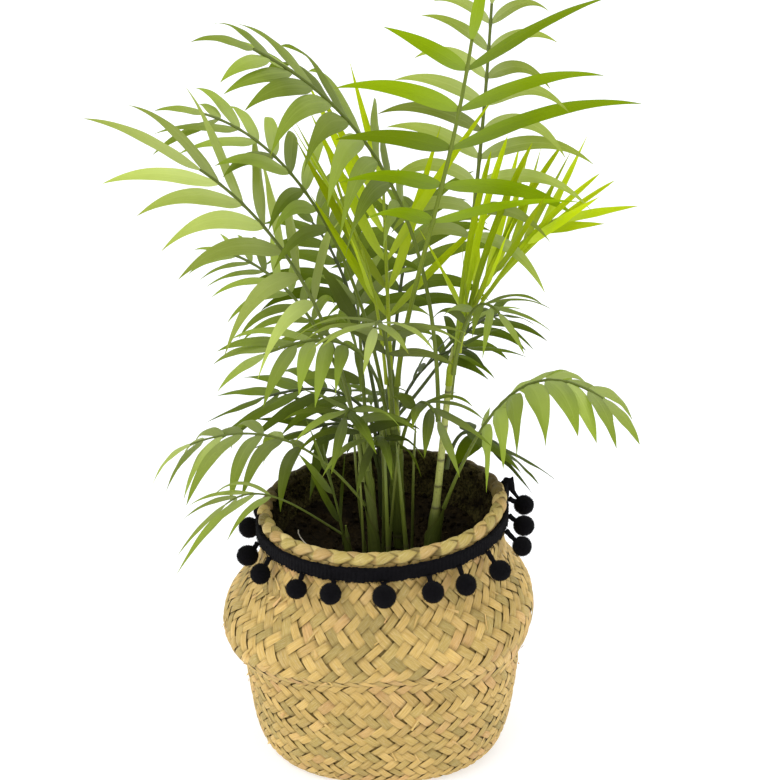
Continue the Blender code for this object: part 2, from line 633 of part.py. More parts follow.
def attitudes():
    """The attitudes that a leaflet tries in turn: its own, then ever larger swings, lifts and sags."""
    moves = ((1, 0, 0), (-1, 0, 0), (0, 1, 0), (0, -1, 0), (0, 0, 1), (0, 0, -1),
             (1, 1, 0), (-1, 1, 0), (1, -1, 0), (-1, -1, 0))
    yield 0.0, 0.0, 0.0, 1.0
    for scale in (1.0, 0.85, 0.7):
        for size in (1, 2, 3, 4):
            for swing, lift, sag in moves:
                yield 7.0 * swing * size, 9.0 * lift * size, 0.16 * sag * size, scale


def is_clear(points, others, distance):
    """Whether no point lies nearer than the distance to any of the others."""
    low, high = points.min(axis=0) - distance, points.max(axis=0) + distance
    near = others[((others >= low) & (others <= high)).all(axis=1)]
    if not len(near):
        return True
    gaps = ((points[:, None, :] - near[None, :, :]) ** 2).sum(axis=2)
    return gaps.min() >= distance ** 2


def fixed_points():
    """Points on the stems and the rim, which leaflets stay clear of."""
    found = []
    for stem in STEMS.values():
        for height in np.arange(STEM_FOOT, stem.height, 0.004):
            radius = stem_radius(stem, height)
            centre = np.array(stem_axis(stem, height))
            for angle in np.linspace(0, 2 * math.pi, 7)[:-1]:
                found.append(centre + radius * np.array([math.cos(angle), math.sin(angle), 0.0]))
    for angle in np.linspace(0, 2 * math.pi, 160, endpoint=False):
        for across in np.linspace(0, 2 * math.pi, 6, endpoint=False):
            radius = RIM_RADIUS + RIM_TUBE * math.cos(across)
            found.append(np.array(basket_point(radius, RIM_HEIGHT + RIM_TUBE * math.sin(across), angle)))
    return np.array(found)


def first_clear(stalk, share, side, chance, others, own, own_clear):
    """The leaflet in the first attitude that is clear of everything, or None."""
    skip = 3 if side else 4
    for swing, lift, sag, scale in attitudes():
        leaflet = Leaflet(stalk, share, side, chance, swing, lift, sag, scale)
        if not is_clear(leaflet.samples(2), others, STEM_CLEAR):
            continue
        if own is None or is_clear(leaflet.samples(skip), own, own_clear):
            return leaflet
    return None


def grow_fronds():
    """Every frond's stalk with its leaflets, each leaflet clear of the stems, the rim and what grew before it."""
    stalks = {name: Stalk(frond) for name, frond in FRONDS.items()}
    lines = {name: stalk.points(max(int(stalk.length / 0.004), 8)) for name, stalk in stalks.items()}
    taken = [fixed_points()]
    grown = {}
    for index, (name, stalk) in enumerate(stalks.items()):
        frond = stalk.frond
        others = np.concatenate(taken + [line for other, line in lines.items() if other != name])
        rng = np.random.default_rng(100 + index)
        chance = rng.uniform(-1, 1, (frond.pairs, 2, 4))
        leaflets = []
        own = [lines[name][lines[name].shape[0] // 4:]]
        step = (1 - frond.bare) / frond.pairs
        for pair in range(frond.pairs):
            share = frond.bare + step * (pair + 0.3)
            for column, side in enumerate((1, -1)):
                made = first_clear(
                    stalk, share, side, chance[pair, column], others, np.concatenate(own), OWN_CLEAR)
                if made:
                    leaflets.append(made)
                    own.append(made.samples(3))
        tip = first_clear(stalk, 1.0, 0, (0, 0, 0, 0), others, np.concatenate(own[1:]), 0.8 * OWN_CLEAR)
        if tip:
            leaflets.append(tip)
        taken.append(np.concatenate([leaflet.samples() for leaflet in leaflets]))
        grown[name] = (stalk, leaflets)
    return grown


class Sheet:
    """The flat faces of one frond, with a thickness for each vertex."""

    def __init__(self):
        self.bm = bmesh.new()
        self.weight = self.bm.verts.layers.deform.verify()

    def vertex(self, point, thickness):
        made = self.bm.verts.new(Vector(point))
        made[self.weight][0] = thickness / STALK_THICKNESS
        return made

    def face(self, *corners):
        self.bm.faces.new(corners)


def stalk_shares(stalk, leaflets):
    """Where the stalk's strip has a row: along the bare stretch, and at both ends of each leaflet's root."""
    shares = list(np.linspace(0, stalk.frond.bare, 6))[:-1]
    roots = {}
    for leaflet in leaflets:
        if leaflet.side:
            half = leaflet.root / 2 / stalk.length
            roots.setdefault(round(leaflet.share, 6), (leaflet.share - half, leaflet.share + half))
    for low, high in roots.values():
        shares += [low, high]
    shares.append(1.0)
    return sorted(shares), roots


def add_leaflet(sheet, leaflet, near_vertex, far_vertex):
    """Continues the strip's edge into a leaflet. near is its edge towards the foot, far the one towards the tip."""
    turn = -1 if leaflet.side < 0 else 1
    rows = LONG_ROWS if leaflet.length > LONG_LEAFLET else SHORT_ROWS
    near, far = near_vertex, far_vertex
    for row in rows[:-1]:
        edge = turn * leaflet.across[row] * leaflet.half[row]
        next_near = sheet.vertex(leaflet.points[row] - edge, LEAFLET_THICKNESS)
        next_far = sheet.vertex(leaflet.points[row] + edge, LEAFLET_THICKNESS)
        if leaflet.side >= 0:
            sheet.face(near, far, next_far, next_near)
        else:
            sheet.face(near, next_near, next_far, far)
        near, far = next_near, next_far
    tip = sheet.vertex(leaflet.points[-1], LEAFLET_THICKNESS)
    if leaflet.side >= 0:
        sheet.face(near, far, tip)
    else:
        sheet.face(near, tip, far)


def make_frond(name, stalk, leaflets, collection):
    """A strip for the stalk with the leaflets growing from its edges, as one sheet that is then made solid."""
    sheet = Sheet()
    shares, roots = stalk_shares(stalk, leaflets)
    rows = []
    for share in shares:
        across = stalk.frame(share)[1]
        edge = across * stalk.width(share) / 2
        thickness = STALK_THICKNESS * (1 - (1 - STALK_THIN) * share)
        centre = stalk.at(share)
        rows.append((sheet.vertex(centre + edge, thickness), sheet.vertex(centre - edge, thickness)))
    for (left, right), (next_left, next_right) in zip(rows, rows[1:]):
        sheet.face(right, next_right, next_left, left)
    for leaflet in leaflets:
        if not leaflet.side:
            left, right = rows[-1]
            add_leaflet(sheet, leaflet, left, right)
            continue
        low, high = roots[round(leaflet.share, 6)]
        column = 0 if leaflet.side > 0 else 1
        add_leaflet(sheet, leaflet, rows[shares.index(low)][column], rows[shares.index(high)][column])
    bmesh.ops.triangulate(sheet.bm, faces=sheet.bm.faces)
    mesh = bpy.data.meshes.new(name)
    sheet.bm.to_mesh(mesh)
    sheet.bm.free()
    made = add_object(name, mesh, collection, stalk.frond.tone)
    made.vertex_groups.new(name="thickness")
    solid = made.modifiers.new("Thickness", "SOLIDIFY")
    solid.thickness = STALK_THICKNESS
    solid.offset = 0.0
    solid.vertex_group = "thickness"
    return made


def main():
    clear_scene()
    collection = make_collection(OBJECT_NAME)
    make_basket(collection)
    make_rim(collection)
    make_band(collection)
    for number, (bearing, reach, height) in enumerate(POMPOMS, start=1):
        make_pompom(f"pompom_{number:02d}", bearing, reach, height, collection)
    make_pot(collection)
    make_soil(collection)
    for name, stem in STEMS.items():
        make_stem(name, stem, collection)
    for name, (stalk, leaflets) in grow_fronds().items():
        make_frond(name, stalk, leaflets, collection)


main()
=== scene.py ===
"""Looks of a parlour palm in its nursery pot, in a woven belly basket with a pompom trim. Metres, +Z up."""

import math
from collections import namedtuple

import bmesh
import bpy
import numpy as np
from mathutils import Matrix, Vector, noise


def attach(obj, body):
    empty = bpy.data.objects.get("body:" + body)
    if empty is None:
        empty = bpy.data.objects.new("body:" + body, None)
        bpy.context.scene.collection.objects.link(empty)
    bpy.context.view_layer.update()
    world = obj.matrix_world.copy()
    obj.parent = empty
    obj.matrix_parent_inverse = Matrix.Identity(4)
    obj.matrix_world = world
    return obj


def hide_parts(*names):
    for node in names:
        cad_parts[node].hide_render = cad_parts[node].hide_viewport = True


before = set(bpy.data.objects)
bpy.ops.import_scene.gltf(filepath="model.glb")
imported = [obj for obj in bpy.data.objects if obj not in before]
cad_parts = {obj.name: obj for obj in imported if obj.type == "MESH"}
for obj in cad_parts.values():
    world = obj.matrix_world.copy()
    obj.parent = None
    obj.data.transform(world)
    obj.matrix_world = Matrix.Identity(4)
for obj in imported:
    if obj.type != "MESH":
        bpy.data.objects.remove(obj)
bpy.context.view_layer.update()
TAU = 2 * math.pi

# Basket, as in the CAD source
BASKET_OUTSIDE = (
    (0.0820, 0.0000), (0.0900, 0.0025), (0.0970, 0.0100), (0.1020, 0.0260), (0.1055, 0.0500),
    (0.1075, 0.0680), (0.1075, 0.0800), (0.1110, 0.0880), (0.1180, 0.0980), (0.1210, 0.1070),
    (0.1190, 0.1160), (0.1140, 0.1240), (0.1070, 0.1320), (0.1000, 0.1410), (0.0955, 0.1500),
    (0.0930, 0.1610), (0.0918, 0.1840),
)
BASE_SQUARE = 0.02
CREASE_DROP, CREASE_HEIGHT, CREASE_REACH = 0.0070, 0.0860, 0.0200
BELLY_SHIFT, BELLY_HEIGHT, BELLY_REACH = -0.0030, 0.1100, 0.0260
LEAN, LEAN_FROM, LEAN_TO = 0.06, 0.072, 0.112
SQUARE_FROM, SQUARE_TO = 0.090, 0.150
RIM_RADIUS, RIM_HEIGHT, RIM_TUBE = 0.0883, 0.1902, 0.0050

# Weave of the basket
WALL_FOOT = ((0.0700, 0.0026), (0.0780, 0.0016))
WALL_TOP = ((0.0918, 0.1840), (0.0916, 0.1890))
STRANDS = 68                # in each of the two directions
CELL_LOW, CELL_HIGH = 0.0078, 0.0109    # height of a cell below and above the crease
CELL_FROM, CELL_TO = 0.060, 0.100
WALL_IN = 0.0012            # from the outer face to the middle of the weave
STRAND_WIDTH = 0.915        # of a cell
STRAND_WAVE, STRAND_EDGE = 0.00078, 0.00055
STRAND_ROWS = 5             # for each crossing
STRAND_COLUMNS = 5
STRAND_PATTERN = 0.0075     # length of a crossing in the straw's pattern
STRAND_UNEVEN, STRAND_LOWEST = 0.00012, 0.0004
FLOAT_SHARP = 2.4           # how abruptly a strand rises and dives
LINING = 0.0013             # from the middle of the weave in to the layer behind it, painted dark as shade
SLIVERS, SLIVER_HEIGHTS, SLIVER_LIMITS = 110, (0.010, 0.165), (0.004, 0.172)
SLIVER_SIZES = ((0.005, 0.013), (0.0005, 0.0014), (0.0008, 0.0026))     # length, half width and curl
BASE_PITCH, BASE_REACH, BASE_MIDDLE, BASE_WAVE = 0.0078, 0.0790, 0.0012, 0.0005
BASE_STEP, BASE_WIDTH = 0.0016, 0.48        # the half width is a share of the pitch

# Plait of the rim
PLAIT_PERIODS, PLAIT_ROWS = 12, 44
PLAIT_SWING, PLAIT_LIFT, PLAIT_WIDTH = 0.0054, 0.00105, 0.0098
PLAIT_POINT = 0.97          # 0 bends the strands in waves, 1 in zigzags
PLAIT_TUBE, PLAIT_CORE = 0.0043, 0.0034
PLAIT_OUT, PLAIT_CROWN, PLAIT_EDGE = 0.0004, 0.0005, 0.0003
RIM_BACK_SHADE = 0.92            # how far painted shade, in the peat's colour, darkens the rim's inside at the back

# Trim: the inside, thickness and pompoms are as in the CAD source, the knitted edges as seen
BAND_INSIDE, BAND_THICKNESS = 0.0928, 0.0022
BAND_SECTION = (
    # outwards and upwards, from the inner face over the outer one
    (-0.55, 0.08), (-0.55, 0.5), (-0.55, 0.92), (0.3, 1.0), (0.75, 0.98), (1.0, 0.86),
    (1.05, 0.68), (0.92, 0.5), (1.05, 0.32), (1.0, 0.14), (0.75, 0.02), (0.3, 0.0),
)
KNIT_LOW, KNIT_HIGH, KNIT_TAIL = 0.1752, 0.1866, 0.1930
STITCHES, STITCH_LOOP = 190, 0.0004
TAIL_BEARING, TAIL_SPREAD = math.radians(14.0), math.radians(5.0)
TAIL_OUT, TAIL_RAISE = 0.0046, 0.0040
FLAP = (
    # reach, height and half width of the loose end, from its top down to the pompom
    (0.0984, 0.1962, 0.0036), (0.0986, 0.1954, 0.0045), (0.0990, 0.1930, 0.0044), (0.0998, 0.1902, 0.0038),
    (0.1008, 0.1876, 0.0030), (0.1022, 0.1848, 0.0022), (0.1042, 0.1816, 0.0018), (0.1064, 0.1785, 0.0016),
)
FLAP_THICKNESS = 0.0022
FLUFF, FLUFF_LENGTH, FLUFF_THICK, FLUFF_ROOT = 2600, (0.0008, 0.0016), 0.00028, 0.0003
POMPOMS = (
    # bearing, reach and height
    (-166, 0.1035, 0.167), (-150, 0.1035, 0.165), (-127, 0.1030, 0.167), (-111, 0.1030, 0.169),
    (-89, 0.1030, 0.168), (-69, 0.1030, 0.166), (-54, 0.1040, 0.164), (-36, 0.1070, 0.163),
    (-15, 0.1080, 0.164), (0, 0.1070, 0.167), (13, 0.1110, 0.172), (31, 0.1040, 0.167),
    (48, 0.1035, 0.166), (66, 0.1030, 0.168), (84, 0.1035, 0.166), (102, 0.1030, 0.167),
    (120, 0.1035, 0.168), (138, 0.1030, 0.166), (153, 0.1030, 0.168), (168, 0.1040, 0.167),
)
POMPOM_RADIUS, POMPOM_STALK, POMPOM_ROOT = 0.0083, 0.0017, 0.1762
POMPOM_SIZE = 0.955
POMPOM_SIZES = {2: 0.92, 3: 0.91, 5: 1.03, 9: 0.90, 11: 0.94}
POMPOM_TUFTS, TUFT_LENGTH, TUFT_THICK = 700, (0.09, 0.17), 0.00032      # the length is a share of the radius

# Soil, as in the CAD source, and the peat that laps over the pot's lip
SOIL_MIDDLE, SOIL_EDGE = 0.1480, 0.1660
SOIL_RISE_FROM, SOIL_RISE_TO = 0.020, 0.076
SOIL_LUMP, SOIL_RADIUS = 0.0012, 0.0793
SOIL_UNDER, CRUMB_REACH = 0.12, 0.0785
SOIL_CRUMBS, PEAT_CRUMBS, PEAT_FIBRES = 620, 760, 2200
PEAT_FRONT = (
    (0.0745, 0.1652), (0.0775, 0.1704), (0.0805, 0.1726), (0.0840, 0.1738), (0.0862, 0.1768),
    (0.0874, 0.1800), (0.0882, 0.1830), (0.0888, 0.1846), (0.0890, 0.1800),
)
PEAT_BACK = (
    (0.0745, 0.1652), (0.0772, 0.1706), (0.0797, 0.1744), (0.0813, 0.1788), (0.0822, 0.1830),
    (0.0827, 0.1870), (0.0829, 0.1908), (0.0838, 0.1942), (0.0856, 0.1960),
)
PEAT_LEAN = (0.0, 0.0, 0.15, 0.40, 0.65, 0.85, 1.0, 1.0, 1.0)   # how far each row leans with the basket
ROOT = (
    (-0.0635, 0.0050, 0.1672), (-0.0633, 0.0000, 0.1668), (-0.0615, -0.0055, 0.1662),
    (-0.0585, -0.0120, 0.1655), (-0.0550, -0.0160, 0.1642),
)
ROOT_RADIUS, PEAT_FIBRE_THICK = 0.00045, 0.00024

# Stems, as in the CAD source, and how they are seen
STEM_FOOT = 0.1180
Stem = namedtuple("Stem", "foot top height foot_radius top_radius")
STEMS = {
    "stem_cane": Stem((0.034, -0.006), (0.052, 0.004), 0.318, 0.0052, 0.0032),
    "stem_middle": Stem((0.014, 0.016), (0.008, 0.012), 0.296, 0.0044, 0.0034),
    "stem_left": Stem((-0.003, -0.018), (-0.011, -0.005), 0.246, 0.0038, 0.0028),
    "stem_seedling": Stem((-0.022, -0.012), (-0.027, -0.017), 0.182, 0.0028, 0.0022),
    "stem_back": Stem((0.004, 0.042), (0.000, 0.052), 0.240, 0.0038, 0.0028),
    "shoot_middle": Stem((0.0060, -0.034), (0.0020, -0.031), 0.256, 0.0022, 0.0008),
    "shoot_right": Stem((0.0225, -0.030), (0.0105, -0.029), 0.256, 0.0024, 0.0008),
}
SLIMNESS = {
    # how much slimmer a stem is seen to be, and the heights between which it narrows
    "stem_cane": (0.34, 0.180, 0.196), "stem_middle": (0.22, 0.158, 0.190), "stem_left": (0.28, 0.158, 0.190),
}
STEM_SCARS = {
    "stem_cane": (0.134, 0.151, 0.168, 0.1907, 0.2080, 0.2290, 0.2560, 0.2830, 0.3060),
    "stem_middle": (0.140, 0.158, 0.176, 0.200, 0.228, 0.262),
    "stem_left": (0.138, 0.153, 0.170, 0.190, 0.214),
}
OTHER_SCARS = (0.146, 0.172)
SCAR_HALF, SCAR_SWELL = 0.0010, 0.10
PALE_FROM, PALE_FADES = (0.182, 0.196), (0.255, 0.300)      # heights on the cane
STEM_POINT = 0.012          # the tapered length at a stem's top
STEM_SIDES = 20
SHADE_LOW, SHADE_HIGH = 0.158, 0.222    # heights between which the painted shade in the basket's mouth fades
SIDE_SHOOTS = (
    # foot, top, height and radius of the thin shoots between the stems
    ((0.0005, 0.0040), (-0.0010, 0.0080), 0.268, 0.0012),
    ((0.0160, 0.0270), (0.0110, 0.0250), 0.282, 0.0013),
    ((0.0210, 0.0080), (0.0270, 0.0140), 0.256, 0.0011),
    ((-0.0120, 0.0100), (-0.0210, 0.0120), 0.250, 0.0011),
    ((0.0060, -0.0060), (0.0130, -0.0100), 0.262, 0.0010),
    ((-0.0110, -0.0250), (-0.0190, -0.0220), 0.240, 0.0009),
)
SHOOT_FOOT = 0.140

# Fronds, as in the CAD source, without frond_ before their names
FROND_VALUES = "stem heading roll foot points bare pairs length width angles taper rise droop tone uneven"
Frond = namedtuple("Frond", FROND_VALUES, defaults=(0.0,))
FRONDS = {
    "top_left": Frond(
        "stem_cane", 200, -28, 0.260, ((0.015, 0.355), (0.045, 0.485), (0.170, 0.555)),
        0.50, 9, 0.096, 0.0135, (64, 26), 0.40, 2, 1.35, "mid"),
    "far_left": Frond(
        "stem_left", 188, -25, 0.215, ((0.007, 0.300), (0.034, 0.400), (0.106, 0.455)),
        0.50, 6, 0.112, 0.0126, (62, 26), 0.00, 6, 0.90, "pale"),
    "upper_left": Frond(
        "stem_middle", 155, -18, 0.240, ((0.010, 0.325), (0.045, 0.460), (0.145, 0.475)),
        0.55, 8, 0.080, 0.0110, (62, 26), 0.30, 2, 1.10, "mid"),
    "top_back": Frond(
        "stem_cane", 62, 0, 0.275, ((0.007, 0.340), (0.020, 0.430), (0.005, 0.570)),
        0.40, 9, 0.090, 0.0092, (76, 46), 0.35, 12, 1.15, "pale", -0.06),
    "top_front": Frond(
        "stem_middle", 308, -12, 0.285, ((0.015, 0.355), (0.070, 0.450), (0.100, 0.570)),
        0.47, 5, 0.114, 0.0112, (80, 56), 0.10, 8, 0.55, "mid", 0.20),
    "low_right": Frond(
        "stem_cane", 345, 5, 0.190, ((0.030, 0.285), (0.060, 0.320), (0.115, 0.290)),
        0.38, 7, 0.066, 0.0120, (70, 34), 0.15, 6, 2.80, "mid"),
    "small_right": Frond(
        "stem_cane", 28, 10, 0.220, ((0.010, 0.260), (0.025, 0.250), (0.055, 0.225)),
        0.40, 3, 0.062, 0.0125, (50, 30), 0.00, 0, 0.80, "dark"),
    "low_left": Frond(
        "stem_left", 172, -12, 0.195, ((0.030, 0.230), (0.065, 0.265), (0.135, 0.235)),
        0.40, 6, 0.068, 0.0108, (64, 34), 0.10, 6, 3.60, "mid"),
    "lowest_left": Frond(
        "stem_seedling", 195, -15, 0.175, ((0.032, 0.200), (0.060, 0.232), (0.088, 0.212)),
        0.62, 3, 0.066, 0.0060, (40, 16), 0.00, 0, 0.90, "mid", 0.10),
    "thin_left": Frond(
        "stem_left", 145, -15, 0.236, ((0.018, 0.300), (0.045, 0.360), (0.120, 0.365)),
        0.45, 8, 0.060, 0.0070, (60, 28), 0.30, 4, 1.00, "mid"),
    "mid_left": Frond(
        "stem_middle", 215, -15, 0.245, ((0.010, 0.320), (0.045, 0.345), (0.110, 0.335)),
        0.35, 7, 0.062, 0.0112, (66, 36), 0.10, 2, 1.30, "mid"),
    "inner_left": Frond(
        "stem_back", 165, -15, 0.215, ((0.007, 0.255), (0.035, 0.270), (0.095, 0.245)),
        0.35, 4, 0.075, 0.0120, (52, 34), 0.00, 0, 0.55, "dark"),
    "seedling": Frond(
        "stem_seedling", 132, 25, 0.164, ((0.005, 0.184), (0.009, 0.204), (0.016, 0.222)),
        0.22, 2, 0.064, 0.0100, (26, 14), 0.00, 0, 0.15, "mid"),
    "young_middle": Frond(
        "stem_middle", 105, 0, 0.290, ((0.007, 0.335), (0.008, 0.385), (0.008, 0.440)),
        0.27, 5, 0.146, 0.0076, (38, 16), 0.20, 0, 0.06, "young"),
    "young_right": Frond(
        "stem_cane", 350, 25, 0.314, ((0.006, 0.345), (0.020, 0.385), (0.062, 0.418)),
        0.16, 7, 0.104, 0.0078, (46, 16), 0.20, 36, 0.05, "young"),
    "inner_back": Frond(
        "stem_back", 75, 0, 0.235, ((0.055, 0.290), (0.065, 0.350), (0.130, 0.365)),
        0.45, 7, 0.085, 0.0115, (66, 30), 0.20, 4, 1.00, "dark"),
    "back_right": Frond(
        "stem_back", 40, 10, 0.230, ((0.060, 0.260), (0.085, 0.300), (0.125, 0.290)),
        0.50, 5, 0.055, 0.0080, (60, 28), 0.10, 4, 1.10, "dark"),
    "back_left": Frond(
        "stem_back", 122, -10, 0.228, ((0.015, 0.290), (0.045, 0.350), (0.095, 0.365)),
        0.45, 6, 0.075, 0.0115, (66, 36), 0.20, 4, 1.00, "dark"),
    "front_left": Frond(
        "stem_left", 255, 0, 0.225, ((0.007, 0.260), (0.030, 0.295), (0.050, 0.285)),
        0.35, 4, 0.060, 0.0115, (60, 28), 0.00, 0, 0.90, "mid"),
    "front_right": Frond(
        "stem_middle", 300, 0, 0.230, ((0.025, 0.280), (0.045, 0.300), (0.065, 0.280)),
        0.35, 4, 0.055, 0.0105, (60, 28), 0.00, 0, 0.90, "mid"),
    "short_left": Frond(
        "stem_back", 192, -10, 0.200, ((0.010, 0.230), (0.025, 0.245), (0.055, 0.235)),
        0.35, 3, 0.070, 0.0115, (54, 38), 0.00, 0, 0.40, "dark"),
    "young_left": Frond(
        "stem_middle", 188, -20, 0.285, ((0.007, 0.335), (0.014, 0.390), (0.031, 0.425)),
        0.45, 4, 0.105, 0.0080, (30, 14), 0.00, 10, 0.05, "young"),
    "middle_left": Frond(
        "stem_left", 92, 0, 0.222, ((0.007, 0.280), (0.015, 0.330), (0.055, 0.340)),
        0.42, 4, 0.070, 0.0115, (64, 38), 0.00, 0, 1.00, "mid"),
    "middle_front": Frond(
        "stem_middle", 262, 0, 0.250, ((0.010, 0.310), (0.035, 0.365), (0.075, 0.360)),
        0.45, 5, 0.070, 0.0110, (64, 30), 0.10, 4, 0.90, "pale"),
    "inner_right": Frond(
        "stem_back", 340, 10, 0.225, ((0.020, 0.270), (0.040, 0.300), (0.070, 0.305)),
        0.42, 4, 0.060, 0.0082, (60, 36), 0.00, 4, 0.90, "dark"),
    "right_arch": Frond(
        "stem_cane", 300, 10, 0.298, ((0.007, 0.340), (0.022, 0.372), (0.055, 0.362)),
        0.42, 4, 0.056, 0.0068, (62, 28), 0.10, 4, 0.90, "mid"),
    "low_front": Frond(
        "stem_middle", 250, 0, 0.203, ((0.010, 0.240), (0.028, 0.262), (0.046, 0.256)),
        0.42, 3, 0.056, 0.0100, (52, 26), 0.00, 0, 1.60, "mid"),
    "low_back": Frond(
        "stem_back", 95, 0, 0.200, ((0.022, 0.225), (0.060, 0.242), (0.100, 0.218)),
        0.42, 5, 0.052, 0.0095, (60, 30), 0.10, 6, 1.10, "dark"),
}
GAP = 0.0003
STALK_WIDTH_FOOT, STALK_WIDTH_TIP, STALK_THICKNESS = 0.0034, 0.0020, 0.0026
FLARE_ANGLE, FLARE_REACH = math.radians(34.0), 0.0120
DROOP_LOW, DROOP_HIGH, DROOP_POWER = 1.45, 0.60, 1.45
STEM_CLEAR, OWN_CLEAR = 0.0042, 0.0034
ATTITUDE_MOVES = (
    # how far a leaflet swings, lifts and sags
    (1, 0, 0), (-1, 0, 0), (0, 1, 0), (0, -1, 0), (0, 0, 1), (0, 0, -1),
    (1, 1, 0), (-1, 1, 0), (1, -1, 0), (-1, -1, 0),
)
ATTITUDE_SCALES, ATTITUDE_SIZES = (1.0, 0.85, 0.7), (1, 2, 3, 4)
STATIONS, FINE_STATIONS = 13, 25
LEAF_COLUMNS = 7
LEAF_TWIST, LEAF_FOLD, LEAF_WAVE, LEAF_SWING = math.radians(32), 0.30, 0.05, 0.055
LEAF_POINT = 0.00015        # half width of a leaflet's tip

# How fronds are seen: tint, where None draws one, which for mid-level fronds inside the plant is partly
# painted shade; leaflets' and stalk's width against the CAD, sheath's length
Seen = namedtuple("Seen", "tint leaf stalk sheath", defaults=(None, 1.06, 1.0, 0.040))
SEEN = {
    "top_left": Seen(-0.22, 1.25, 1.20, 0.0), "far_left": Seen(0.20, 1.12, 1.15),
    "upper_left": Seen(0.10), "top_back": Seen(-0.40, 1.25, 1.15, 0.0),
    "top_front": Seen(0.00, 1.20, 1.30), "low_right": Seen(0.35, 1.45),
    "small_right": Seen(None, 1.20, sheath=0.0), "low_left": Seen(0.10, stalk=0.75),
    "lowest_left": Seen(stalk=0.65), "thin_left": Seen(0.00), "mid_left": Seen(0.20),
    "seedling": Seen(-0.45, 0.80, 0.80), "young_middle": Seen(0.30, 1.05), "young_left": Seen(None, 1.30),
    "young_right": Seen(0.15, 1.60, 1.25, 0.026), "front_left": Seen(-0.40, 0.88),
    "front_right": Seen(-0.25, 0.88), "middle_left": Seen(-0.30, 0.92), "middle_front": Seen(0.00, 0.90),
    "right_arch": Seen(-0.10, sheath=0.0), "low_front": Seen(-0.45, 0.88),
}
VIVID_FRONDS = ("top_front",)
TINT_DRAW, TINT_WEIGHT = 0.4, 1.6
SPEARS = (
    # foot and tip of each closed blade at the cane's top, and its width
    ((0.0530, -0.0020, 0.3130), (0.0770, -0.0130, 0.4740), 0.0046),
    ((0.0550, 0.0010, 0.3170), (0.0890, 0.0040, 0.4790), 0.0050),
    ((0.0570, -0.0010, 0.3240), (0.1060, -0.0080, 0.4780), 0.0048),
    ((0.0600, 0.0010, 0.3310), (0.1290, 0.0100, 0.4720), 0.0044),
    ((0.0660, -0.0010, 0.3440), (0.1540, -0.0100, 0.4560), 0.0044),
    ((0.0720, 0.0000, 0.3560), (0.1660, 0.0040, 0.4460), 0.0040),
)
SPEAR_BEND = 0.05           # of its length
INNER_REACH, INNER_TOP, INNER_SHADE = (0.015, 0.100), (0.310, 0.480), 0.58   # painted shade, darker inside the plant
YOUNG_INNER = 0.45          # how much of that painted shade young leaves get
SHEATH_LOWEST, SHEATH_SHORTEST = 0.150, 0.008
SHEATH_ROWS, SHEATH_COLUMNS = 16, 13
SHEATH_OUT, SHEATH_LAYER, SHEATH_MOUTH, SHEATH_OPEN = 0.0004, 0.00025, 0.0010, 0.42
JOINT_SWELL, JOINT_HALF, FOOT_SWELL, FOOT_REACH = 0.16, 0.0022, 0.25, 0.006
STALK_STEP, STALK_FLAT = 0.0035, 0.82

# Colours
LEAF_TONES = {
    # darker colour, lighter colour, colour of the light through the leaf, its share
    "pale": ((0.105, 0.155, 0.012), (0.660, 0.730, 0.300), (0.520, 0.660, 0.040), 0.34),
    "mid": ((0.030, 0.052, 0.001), (0.460, 0.535, 0.150), (0.360, 0.520, 0.006), 0.34),
    "dark": ((0.014, 0.025, 0.001), (0.150, 0.200, 0.020), (0.160, 0.250, 0.002), 0.28),
    "young": ((0.190, 0.320, 0.003), (0.560, 0.700, 0.016), (0.660, 0.790, 0.006), 0.42),
    "vivid": ((0.095, 0.165, 0.001), (0.290, 0.400, 0.004), (0.400, 0.590, 0.003), 0.38),
}
# The last is how much painted grey sheen a leaf gets at its foot
LEAF_ROUGH, LEAF_GLOSS, LEAF_SHEEN_GREY = 0.42, 0.06, 0.40
STALK_TONES = {
    "pale": ((0.085, 0.115, 0.018), (0.290, 0.340, 0.070)),
    "mid": ((0.075, 0.105, 0.010), (0.250, 0.310, 0.040)),
    "dark": ((0.026, 0.038, 0.006), (0.100, 0.130, 0.024)),
    "young": ((0.240, 0.320, 0.010), (0.540, 0.620, 0.040)),
    "vivid": ((0.110, 0.155, 0.010), (0.300, 0.370, 0.030)),
}
WALL_TONES = (
    (0.00, (0.430, 0.325, 0.105)), (0.25, (0.540, 0.390, 0.122)), (0.50, (0.640, 0.440, 0.140)),
    (0.72, (0.710, 0.490, 0.160)), (0.88, (0.680, 0.420, 0.165)), (1.00, (0.800, 0.590, 0.215)),
)
RIM_TONES = (
    (0.00, (0.270, 0.205, 0.065)), (0.30, (0.420, 0.330, 0.098)), (0.60, (0.560, 0.435, 0.130)),
    (0.85, (0.570, 0.370, 0.138)), (1.00, (0.760, 0.600, 0.240)),
)
# The peat's own dark colour, deepened as painted shade for the basket's mouth
PEAT_AND_SHADE_TONES = (
    (0.0, (0.002, 0.0015, 0.001)), (0.4, (0.008, 0.005, 0.002)), (0.7, (0.034, 0.022, 0.008)),
    (1.0, (0.130, 0.095, 0.040)),
)

# Studio
LIGHTS = (
    # name, place, width in degrees and strength
    ("key", (-1.3, -1.3, 2.2), 42.0, 1.20), ("top", (0.6, 1.0, 2.2), 50.0, 1.00),
    ("right", (2.0, -0.3, 1.0), 60.0, 0.55), ("left", (-2.0, 0.1, 1.0), 60.0, 0.45),
)
WORLD_STRENGTH = 0.66
FLOOR_HALF, FLOOR_DROP = 9.0, 0.0002
CAMERA_LENS, CAMERA_SENSOR, CAMERA_FAR = 113.08, 36.0, 50.0
CAMERA_PITCH, CAMERA_DISTANCE = math.radians(23.5), 1.805
CAMERA_AIM = (0.006, 0.285)     # across and up


def smooth_step(value, low, high):
    share = np.clip((np.asarray(value, float) - low) / (high - low), 0.0, 1.0)
    return share * share * (3 - 2 * share)


